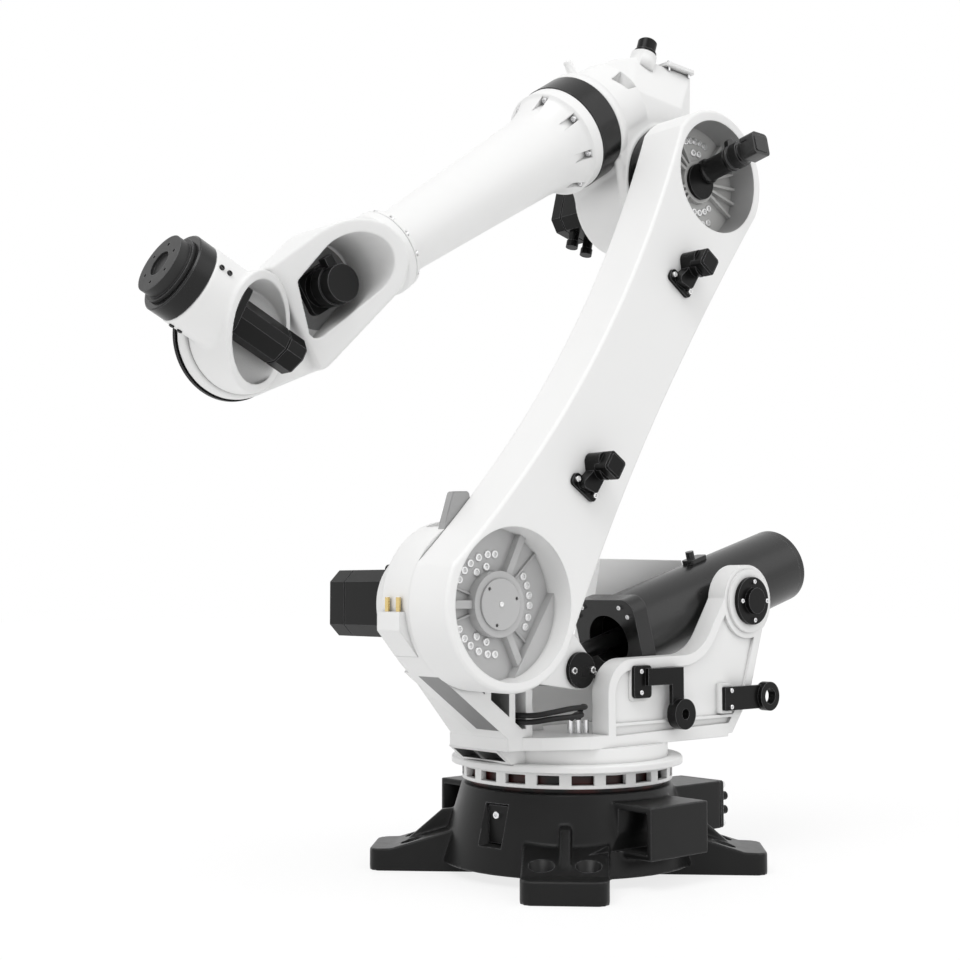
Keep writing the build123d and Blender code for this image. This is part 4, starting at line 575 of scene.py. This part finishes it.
hand_frame = arm_place(WRIST, HAND_PITCH)
HAND_FAR = -0.0847
HAND_NEAR = 0.111
HAND_FLOOR = -0.066
HAND_RADIUS = 0.136
HAND_BORE = 0.115
NECK_RADIUS = 0.100
NECK_END = 0.205
MOTOR_SEAT = 0.100
# The slanted mouth: its slope, and how near it lies on the wrist axis
MOUTH_SLOPE = 0.70
MOUTH_NEAR = 0.010


def make_hand():
    hand = solid("hand_shell", prism(circle((0, 0), HAND_RADIUS), HAND_FAR, HAND_NEAR), hand_frame)
    neck = solid("neck", turned([(0, NECK_RADIUS), (NECK_END, NECK_RADIUS)]), hand_frame)
    joined(hand, [neck], "UNION")
    low, high = -0.4, 0.4
    edge = [(low, MOUTH_NEAR + low * MOUTH_SLOPE), (high, MOUTH_NEAR + high * MOUTH_SLOPE)]
    mouth = prism(edge + [(high, BEYOND), (low, BEYOND)], -0.3, 0.3, "Z")
    foot = box((-0.3, -0.3, -0.3), (0.3, HAND_FAR, 0.3))
    joined(hand, [solid("cut", mouth, hand_frame), solid("cut", foot, hand_frame)], "DIFFERENCE")
    rounded(hand, 0.003, 14)
    bore = prism(circle((0, 0), HAND_BORE), HAND_FLOOR, 0.3)
    pad = solid("pad", box((MOTOR_SEAT, -0.06, -0.08), (0.125, 0.05, 0.08)), hand_frame)
    joined(hand, [solid("cut", bore, hand_frame)], "DIFFERENCE")
    joined(hand, [pad], "UNION")
    rounded(hand, 0.0025, 2)
    dress(hand, wrist_white, "white_paint", "hand", "hand_casting")


make_hand()


# Elbow

ACROSS = Matrix.Rotation(math.radians(90), 4, "Z")    # turned shapes then run along +Y
UPRIGHT = Matrix.Rotation(math.radians(-90), 4, "Y")  # turned shapes then run along +Z
CASE_FRONT = 0.128
RIM_REACH = 0.149         # outside of the ring at the black band
SLAB_FAR = -0.120
BOSS_NEAR = 0.118
BOSS_RADIUS = 0.185
BOSS_FAR_RADIUS = 0.150
PLATEAU_NEAR = 0.112
HUB_ROOM = 0.1481         # leaves the third-axis gearbox free
BAND_ROOM = 0.1121        # leaves the fourth-axis gearbox free
# Corners along and across the forearm
CASE_OUTLINE = [
    (0.100, 0.398), (-0.062, 0.388), (-0.176, 0.357), (-0.363, 0.224), (-0.306, 0.150), (0.104, 0.130),
]
PLATEAU = [
    (0.063, 0.288), (0.131, 0.157), (0.120, 0.140), (-0.023, 0.298), (-0.183, 0.175), (-0.140, 0.120),
]
FIN = [(0.060, 0.17), (0.120, 0.165), (0.142, 0.154), (0.188, 0.030), (0.170, 0.010), (0.060, 0.06)]
WINDOW = [(0.030, 0.350), (-0.021, 0.354), (-0.023, 0.300), (0.010, 0.306)]


def wrapped(points):
    """Closed shape stretched over points."""
    shape = bmesh.new()
    for point in points:
        shape.verts.new(point)
    bmesh.ops.convex_hull(shape, input=shape.verts)
    loose = [vertex for vertex in shape.verts if not vertex.link_faces]
    bmesh.ops.delete(shape, geom=loose, context="VERTS")
    bmesh.ops.recalc_face_normals(shape, faces=shape.faces)
    return shape


def make_elbow():
    points = [(x, y, z) for x, z in CASE_OUTLINE for y in (-PLATEAU_NEAR, 0.040)]
    points += [(x, PLATEAU_NEAR, z) for x, z in PLATEAU]
    points += [(x, y, z) for x, z in circle((0, 0), 0.140, 48) for y in (-BOSS_NEAR, 0.060)]
    elbow = solid("elbow_shell", wrapped(points), forearm_frame)
    neck = solid("neck", turned([(-0.030, 0.128), (0.090, 0.128), (CASE_FRONT, 0.140)]), roll_frame)
    boss_frame = arm_place(ELBOW, 0) @ ACROSS
    boss = solid("boss", turned([(SLAB_FAR, BOSS_FAR_RADIUS), (BOSS_NEAR, BOSS_RADIUS)]), boss_frame)
    fin = solid("fin", prism(FIN, 0.086, 0.100), forearm_frame)
    joined(elbow, [neck, boss, fin], "UNION")
    rounded(elbow, 0.0035, 10)
    joined(elbow, [solid("cut", prism(WINDOW, 0.030, 0.3), forearm_frame)], "DIFFERENCE")
    rim = turned([
        (0.094, 0.120), (0.096, 0.145), (0.099, RIM_REACH), (0.125, RIM_REACH), (CASE_FRONT, 0.146),
        (CASE_FRONT, 0.1),
    ])
    cap_foot = turned([(-0.05, 0.038), (0.0, 0.038)])
    peg = turned([(0.10, 0.014), (0.172, 0.012), (0.175, 0.009)], 32)
    added = [
        solid("rim", rim, roll_frame),
        solid("cap_foot", cap_foot, cap_frame()),
        solid("peg", peg, roll_frame @ Matrix.Translation((0.060, 0, 0)) @ UPRIGHT),
    ]
    joined(elbow, added, "UNION")
    hub = solid("cut", turned([(0.022, HUB_ROOM), (0.2, HUB_ROOM)]), boss_frame)
    band = solid("cut", turned([(CASE_FRONT - 0.088, BAND_ROOM), (0.2, BAND_ROOM)]), roll_frame)
    joined(elbow, [hub, band], "DIFFERENCE")
    dress(elbow, white, "white_paint", "elbow", "elbow_casting")


def cap_frame():
    """Local X along the axis of the black cap on top of the elbow."""
    low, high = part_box("elbow_cap")
    tilt = math.radians(18)
    up = Vector((-math.sin(tilt), 0, math.cos(tilt)))
    seat = (low + high) / 2 - up * 0.024
    return Matrix.Translation(seat) @ Matrix.Rotation(-math.radians(90) - tilt, 4, "Y")


make_elbow()


# Forearm tube

TUBE_START = 0.2083
FLARE_BOLTS = 8
WRIST_BOLTS = 12
# Along the roll axis, radius
TUBE_PROFILE = [
    (TUBE_START, 0.060), (TUBE_START, 0.144), (TUBE_START + 0.002, 0.146), (0.247, 0.146), (0.250, 0.143),
    (0.252, 0.139), (0.262, 0.134), (0.280, 0.126), (0.300, 0.119), (0.320, 0.114), (0.345, 0.110),
    (0.600, 0.0965), (0.900, 0.0820), (0.914, 0.083), (0.920, 0.088), (0.922, 0.103), (0.924, 0.105),
    (0.9345, 0.105), (0.9358, 0.1035), (0.9358, 0.060),
]


def turns(count, start):
    """Turns about the roll axis, evenly spread from a start angle in degrees."""
    return [Matrix.Rotation(math.radians(start + 360 / count * index), 4, "X") for index in range(count)]


def make_tube():
    tube = solid("forearm_shell", turned(TUBE_PROFILE), roll_frame)
    cuts = bmesh.new()
    bolts = bmesh.new()
    for spin in turns(FLARE_BOLTS, 22.5):
        pocket = prism([(0.2505, 0.118), (0.2505, 0.16), (0.312, 0.16), (0.312, 0.118)], -0.011, 0.011)
        add_shape(cuts, pocket, spin)
        add_shape(bolts, screw_head(0.008, 0.010), spin @ Matrix.Translation((0.250, 0, 0.130)))
    for spin in turns(WRIST_BOLTS, 15):
        notch = prism([(0.90, 0.095), (0.90, 0.13), (0.931, 0.13), (0.931, 0.095)], -0.007, 0.007)
        add_shape(cuts, notch, spin)
        spot = spin @ Matrix.Translation((0.931, 0, 0.0985)) @ HALF_TURN
        add_shape(bolts, screw_head(0.0055, 0.008), spot)
    joined(tube, [solid("cut", cuts, roll_frame)], "DIFFERENCE")
    dress(tube, white, "white_paint", "forearm", "forearm_tube")
    screws = solid("forearm_bolt_heads", bolts, roll_frame)
    dress(screws, chrome, "chrome", "forearm", "forearm_bolts")


make_tube()


# Hose guide on the elbow hub

GUIDE_FOOT = (ELBOW[0] - 0.027, 0.230, ELBOW[1] + 0.033)
GUIDE_TILT = math.radians(11)
guide_frame = Matrix.Translation(GUIDE_FOOT) @ Matrix((
    (0, -1, 0, 0),
    (math.cos(GUIDE_TILT), 0, -math.sin(GUIDE_TILT), 0),
    (math.sin(GUIDE_TILT), 0, math.cos(GUIDE_TILT), 0),
    (0, 0, 0, 1),
))
GUIDE_PROFILE = [
    (-0.006, 0.036), (0.004, 0.036), (0.008, 0.034), (0.012, 0.031), (0.078, 0.031), (0.080, 0.033),
    (0.086, 0.036), (0.092, 0.036), (0.095, 0.032), (0.100, 0.032), (0.103, 0.036), (0.128, 0.036),
    (0.131, 0.030), (0.152, 0.030),
]


def make_hose_guide():
    tube = solid("hose_guide_shell", turned(GUIDE_PROFILE), guide_frame)
    ear = prism(hull(((0.0, 0.040), 0.016), ((0.0, 0.010), 0.020)), 0.082, 0.096, "X")
    joined(tube, [solid("ear", ear, guide_frame)], "UNION")
    dress(tube, glossy_black, "black_paint", "link_arm", "hose_guide_tube")
    block = prism(rounded_square(0.064, 0.064, 0.012), 0.145, 0.190, "X")
    lip = prism(rounded_square(0.048, 0.046, 0.007), 0.186, 0.1925, "X")
    slit = box((0.140, -0.05, 0.012), (0.168, 0.05, 0.016))
    head = solid("hose_guide_head", block, guide_frame)
    joined(head, [solid("lip", lip, guide_frame)], "UNION")
    joined(head, [solid("cut", slit, guide_frame)], "DIFFERENCE")
    dress(head, glossy_black, "black_paint", "link_arm", "hose_guide_clamp")


# Painted highlight along its edges at strength 0.35
glossy_black = dark_paint("glossy_black", 0.006, 0.010, 0.20, 0.0025, 380, 0.5, 0.35)
make_hose_guide()


# Hose clamps on the side of the link arm

ARM_PITCH = 123
ARM_NEAR = 0.290
LINK_FRAME = arm_place(SHOULDER, ARM_PITCH)    # local X runs up the link arm, Z across it
CLAMP_ACROSS = 0.034
CLAMPS = {"upper": 1.060, "lower": 0.394}
FOOT_BACK = -0.030        # the foot lies this far below the head
FOOT_THICKNESS = 0.009
SCREW_SPREAD = 0.035
HEAD_SPOT = (0.036, 0.004)
# Outline rounds of the curved arm and of the ring under the head
CLAMP_NECK = (((-0.030, -0.014), 0.012), ((-0.024, 0.014), 0.012), ((0.028, 0.010), 0.018))
CLAMP_RING = (((0.030, 0.006), 0.029), ((0.040, -0.012), 0.022))


def make_clamp(name, along_arm):
    """Foot plate, curved arm and slotted head."""
    place = LINK_FRAME @ Matrix.Translation((along_arm, ARM_NEAR, CLAMP_ACROSS))
    plan = rounded_square(0.034, 0.092, 0.012, (FOOT_BACK, 0))
    clamp = solid(name + "_hose_clamp_shell", prism(plan, 0, FOOT_THICKNESS), place)
    parts = [
        prism(hull(*CLAMP_NECK), 0, 0.030),
        prism(hull(*CLAMP_RING), 0.0, 0.050),
        prism(rounded_square(0.054, 0.058, 0.009, HEAD_SPOT), 0.036, 0.074),
        prism(rounded_square(0.042, 0.046, 0.006, HEAD_SPOT), 0.072, 0.077),
    ]
    joined(clamp, [solid("part", part, place) for part in parts], "UNION")
    slit = box((0.004, 0.042, 0.014), (0.066, 0.050, 0.05))
    joined(clamp, [solid("cut", slit, place)], "DIFFERENCE")
    dress(clamp, fitting_black, "black_paint", "link_arm", name + "_hose_clamp")


for clamp_name, clamp_spot in CLAMPS.items():
    make_clamp(clamp_name, clamp_spot)


# Link arm

ARM_FAR = 0.150
WAIST_AT = 0.745          # along the arm from the shoulder
FRONT_WAIST = 0.109
REAR_WAIST = 0.158
BACK_CELLS = 4
OUTSIDE = 0.4             # across the arm, past its widest place
# The round edge of the near face: height over the face, inset
NEAR_EDGE = (
    (-0.010, 0), (-0.0062, 0.0008), (-0.0029, 0.0029), (-0.0008, 0.0062), (0.0002, 0.010), (0.03, 0.010),
)


def arm_side(start, reach, waist, spread):
    """Side of the arm over a reach along it; it spreads with the square of the way from the waist."""
    places = [start + reach * (step / 40) for step in range(41)]
    return [(along, waist + spread * (along - WAIST_AT) ** 2) for along in places]


def side_cut(side, closing):
    """What lies outside a side of the arm, with a round edge towards the near face."""
    layers = [(0.1, side + closing)]
    for height, inset in NEAR_EDGE:
        edge = [(along, across - math.copysign(inset, across)) for along, across in side]
        layers.append((ARM_NEAR + height, edge + closing))
    return skinned([[(x, height, z) for x, z in outline] for height, outline in layers])


def make_link_arm():
    """The arm of the frame, drawn in between its two hubs."""
    arm = bpy.data.objects.new("link_arm_shell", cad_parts["link_arm_casting"].data.copy())
    bpy.context.scene.collection.objects.link(arm)
    if "custom_normal" in arm.data.attributes:
        arm.data.attributes.remove(arm.data.attributes["custom_normal"])
    core = box((0.21, ARM_FAR + 0.0005, -0.150), (1.20, ARM_NEAR, 0.168))
    joined(arm, [solid("core", core, LINK_FRAME)], "UNION")
    front = [(along, -across) for along, across in arm_side(-0.03, 1.45, FRONT_WAIST, 0.17)]
    rear = arm_side(0.012, 0.733, REAR_WAIST, 0.095) + arm_side(WAIST_AT, 0.7, REAR_WAIST, 0.060)[1:]
    cuts = [
        side_cut(front, [(1.42, -OUTSIDE), (-0.03, -OUTSIDE)]),
        side_cut(rear, [(1.445, OUTSIDE), (0.2, OUTSIDE)]),
    ]
    for index in range(BACK_CELLS):
        plan = rounded_square(0.20, 0.19, 0.03, (0.36 + 0.23 * index, 0.024))
        cuts.append(prism(plan, 0.1, ARM_FAR + 0.09))
    joined(arm, [solid("cut", cut, LINK_FRAME) for cut in cuts], "DIFFERENCE")
    dress(arm, arm_white, "white_paint", "link_arm", "link_arm_casting")
    even = arm.modifiers.new("normals", "WEIGHTED_NORMAL")
    even.keep_sharp = True


make_link_arm()


# Base casting

DRUM_TOP = 0.226
DRUM_RADIUS = 0.281       # at its top
FOOT_REACH = 0.520
FOOT_WIDTH = 0.212
FOOT_HEIGHT = 0.056
RIB_HALF = 0.014
FLOOR_BOLTS = [
    (x * near, y * far) for near, far in ((0.250, 0.330), (0.330, 0.250)) for x in (1, -1) for y in (1, -1)
]
# Seen from the side: out from the centre, up from the floor
FOOT_SIDE = [
    (0.235, 0.0), (0.53, 0.0), (0.53, FOOT_HEIGHT),
    (0.462, FOOT_HEIGHT + 0.002), (0.33, 0.098), (0.235, 0.13),
]
RIB_SIDE = [(0.235, 0.04), (0.44, 0.04), (0.44, 0.058), (0.335, 0.148), (0.235, 0.160)]
FLOOR_HOLE = [(-0.01, 0.020), (0.052, 0.020), (0.052, 0.031), (0.12, 0.031)]
IN_PLACE = Matrix.Identity(4)


def about_z(angle):
    return Matrix.Rotation(math.radians(angle), 4, "Z")


def make_base():
    drum = solid("base_shell", turned([(0.025, 0.340), (DRUM_TOP, DRUM_RADIUS)], 160), UPRIGHT)
    parts = []
    for index in range(4):
        spin = about_z(45 + 90 * index)
        plan = rounded_square(2 * FOOT_REACH, FOOT_WIDTH, 0.034)
        foot = solid("foot", prism(plan, 0, 0.2, "Z"), spin)
        joined(foot, [solid("side", prism(FOOT_SIDE, -0.2, 0.2), spin)], "INTERSECT")
        parts += [foot, solid("rib", prism(RIB_SIDE, -RIB_HALF, RIB_HALF), spin)]
    for hand in (1, -1):
        low, high = sorted((hand * 0.235, hand * 0.400))
        parts.append(solid("lift_box", box((-0.106, low, 0.075), (0.106, high, 0.205)), IN_PLACE))
    parts.append(solid("panel_box", box((-0.388, 0.045, 0.084), (-0.2, 0.205, 0.212)), IN_PLACE))
    joined(drum, parts, "UNION")
    rounded(drum, 0.004, 5)
    cuts = bmesh.new()
    for hand in (1, -1):
        low, high = sorted((hand * 0.292, hand * 0.386))
        add_shape(cuts, box((-0.3, low, 0.090), (0.3, high, 0.190)), IN_PLACE)
    add_shape(cuts, box((0.2706, -0.037, 0.090), (0.4, 0.037, 0.194)), about_z(8))
    for x, y in FLOOR_BOLTS:
        add_shape(cuts, turned(FLOOR_HOLE, 48), Matrix.Translation((x, y, 0)) @ UPRIGHT)
    add_shape(cuts, turned([(0.0, 0.262), (0.2, 0.240)]), UPRIGHT)
    joined(drum, [solid("cut", cuts, IN_PLACE)], "DIFFERENCE")
    dress(drum, base_black, "black_paint", "base", "base_casting")


make_base()


# Bolts of the link arm

def islands(node):
    """Lowest and highest corner of each loose part of a CAD node."""
    shape = bmesh.new()
    shape.from_mesh(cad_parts[node].data)
    left = set(shape.verts)
    boxes = []
    while left:
        group, edge = [], [left.pop()]
        while edge:
            vertex = edge.pop()
            group.append(vertex.co.copy())
            for link in vertex.link_edges:
                other = link.other_vert(vertex)
                if other in left:
                    left.remove(other)
                    edge.append(other)
        corners = [[pick(point[axis] for point in group) for axis in range(3)] for pick in (min, max)]
        boxes.append([Vector(corner) for corner in corners])
    shape.free()
    return sorted(boxes, key=lambda ends: tuple(ends[0]))


HUB_HEAD = (0.0100, 0.012)       # radius and height
CLAMP_HEAD = (0.0075, 0.008)
PIN_HEAD = (0.0055, 0.005)
COVER_HEAD = (0.0065, 0.003)


def head_spot(x, y, z):
    """Place of a head that faces +Y."""
    return Matrix.Translation((x, y, z)) @ ACROSS


def make_hub_bolts():
    """One head over each long CAD screw, a little proud of it."""
    heads = bmesh.new()
    for low, high in islands("link_arm_bolts"):
        centre = (low + high) / 2
        if high.y - low.y > 0.02:
            add_shape(heads, screw_head(*HUB_HEAD), head_spot(centre.x, high.y - 0.008, centre.z))
    piece = solid("hub_bolt_heads", heads, IN_PLACE)
    dress(piece, white_metal, "chrome", "link_arm", "link_arm_bolts")


def make_arm_screws():
    """Two screws on each clamp's foot, those of the lower pin, and one on the hub cover."""
    heads = bmesh.new()
    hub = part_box("axis2_hub_cover")
    add_shape(heads, screw_head(*COVER_HEAD), head_spot(SHOULDER[0], hub[1].y, SHOULDER[1]))
    for low, high in islands("arm_small_screws"):
        centre = (low + high) / 2
        spot = LINK_FRAME.inverted() @ centre
        if spot.x < 0.3 and spot.z > 0.15:
            add_shape(heads, screw_head(*PIN_HEAD), head_spot(centre.x, high.y - PIN_HEAD[1], centre.z))
    for along_arm in CLAMPS.values():
        for across in (CLAMP_ACROSS - SCREW_SPREAD, CLAMP_ACROSS + SCREW_SPREAD):
            spot = LINK_FRAME @ Vector((along_arm + FOOT_BACK, ARM_NEAR + FOOT_THICKNESS, across))
            add_shape(heads, screw_head(*CLAMP_HEAD), head_spot(*spot))
    piece = solid("arm_screw_heads", heads, IN_PLACE)
    dress(piece, white_metal, "chrome", "link_arm", "arm_small_screws")


white_metal = bright_metal("white_metal", (0.93, 0.93, 0.93), 0.30)
make_hub_bolts()
make_arm_screws()


# Hoist lug on the shoulder housing

LUG_FAR = 0.122
LUG_NEAR = 0.147
LUG_FOOT = 0.87           # below this it is inside the housing
LUG_SIDE = [
    (0.455, 0.865), (0.552, 0.865), (0.545, 0.895), (0.522, 0.966),
    (0.518, 0.972), (0.474, 0.974), (0.470, 0.970),
]


def make_lug():
    lug = solid("hoist_lug_shell", prism(LUG_SIDE, LUG_FAR, LUG_NEAR), IN_PLACE)
    shape = bmesh.new()
    shape.from_mesh(lug.data)
    rim = [edge for edge in shape.edges if min(vertex.co.z for vertex in edge.verts) > LUG_FOOT]
    bmesh.ops.bevel(shape, geom=rim, offset=0.002, segments=2, affect="EDGES")
    shape.to_mesh(lug.data)
    shape.free()
    dress(lug, lug_grey, "white_paint", "column", "hoist_lug")


make_lug()


# Studio

def floor_material():
    """Matt white. The camera sees it lifted to white, so that only the shadow shows."""
    material, tree, shader = new_material("floor_white")
    shader.inputs["Base Color"].default_value = (0.9, 0.9, 0.9, 1)
    shader.inputs["Roughness"].default_value = 0.6
    shader.inputs["Specular IOR Level"].default_value = 0.1
    glow = tree.nodes.new("ShaderNodeEmission")
    glow.inputs["Strength"].default_value = FLOOR_GLOW
    path = tree.nodes.new("ShaderNodeLightPath")
    seen = math_node(tree, "MAXIMUM", path.outputs["Is Camera Ray"], path.outputs["Is Glossy Ray"])
    lift = math_node(tree, "MULTIPLY", seen, FLOOR_LIFT)
    mix = tree.nodes.new("ShaderNodeMixShader")
    tree.links.new(lift, mix.inputs["Fac"])
    tree.links.new(shader.outputs[0], mix.inputs[1])
    tree.links.new(glow.outputs[0], mix.inputs[2])
    tree.links.new(mix.outputs[0], tree.nodes["Material Output"].inputs["Surface"])
    return material


FLOOR_LIFT = 0.75
FLOOR_GLOW = 1.05     # with the lit floor below it, this comes to white


def make_studio():
    scene = bpy.context.scene
    scene.view_settings.view_transform = "Standard"
    world = bpy.data.worlds.new("studio")
    scene.world = world
    world.use_nodes = True
    tree = world.node_tree
    ground = tree.nodes["Background"]
    ground.inputs["Color"].default_value = (1, 1, 1, 1)
    ground.inputs["Strength"].default_value = 0.55
    seen = tree.nodes.new("ShaderNodeBackground")
    seen.inputs["Color"].default_value = (1, 1, 1, 1)
    seen.inputs["Strength"].default_value = 1.0
    path = tree.nodes.new("ShaderNodeLightPath")
    mix = tree.nodes.new("ShaderNodeMixShader")
    rays = math_node(tree, "MAXIMUM", path.outputs["Is Camera Ray"], path.outputs["Is Glossy Ray"])
    rays = math_node(tree, "MAXIMUM", rays, path.outputs["Is Transmission Ray"])
    tree.links.new(rays, mix.inputs["Fac"])
    tree.links.new(ground.outputs[0], mix.inputs[1])
    tree.links.new(seen.outputs[0], mix.inputs[2])
    tree.links.new(mix.outputs[0], tree.nodes["World Output"].inputs["Surface"])

    floor_mesh = bpy.data.meshes.new("floor")
    floor_mesh.from_pydata([(-30, -30, 0), (30, -30, 0), (30, 30, 0), (-30, 30, 0)], [], [(0, 1, 2, 3)])
    floor = bpy.data.objects.new("floor", floor_mesh)
    scene.collection.objects.link(floor)
    floor_mesh.materials.append(floor_material())

    def sun(name, azimuth, elevation, strength, spread):
        data = bpy.data.lights.new(name, "SUN")
        data.energy = strength
        data.angle = math.radians(spread)
        lamp = bpy.data.objects.new(name, data)
        scene.collection.objects.link(lamp)
        way = Vector((
            math.cos(math.radians(azimuth)) * math.cos(math.radians(elevation)),
            math.sin(math.radians(azimuth)) * math.cos(math.radians(elevation)),
            math.sin(math.radians(elevation)),
        ))
        lamp.rotation_euler = way.to_track_quat("Z", "Y").to_euler()

    sun("key", 20, 58, 1.35, 35)
    sun("side", 110, 35, 0.5, 60)


make_studio()
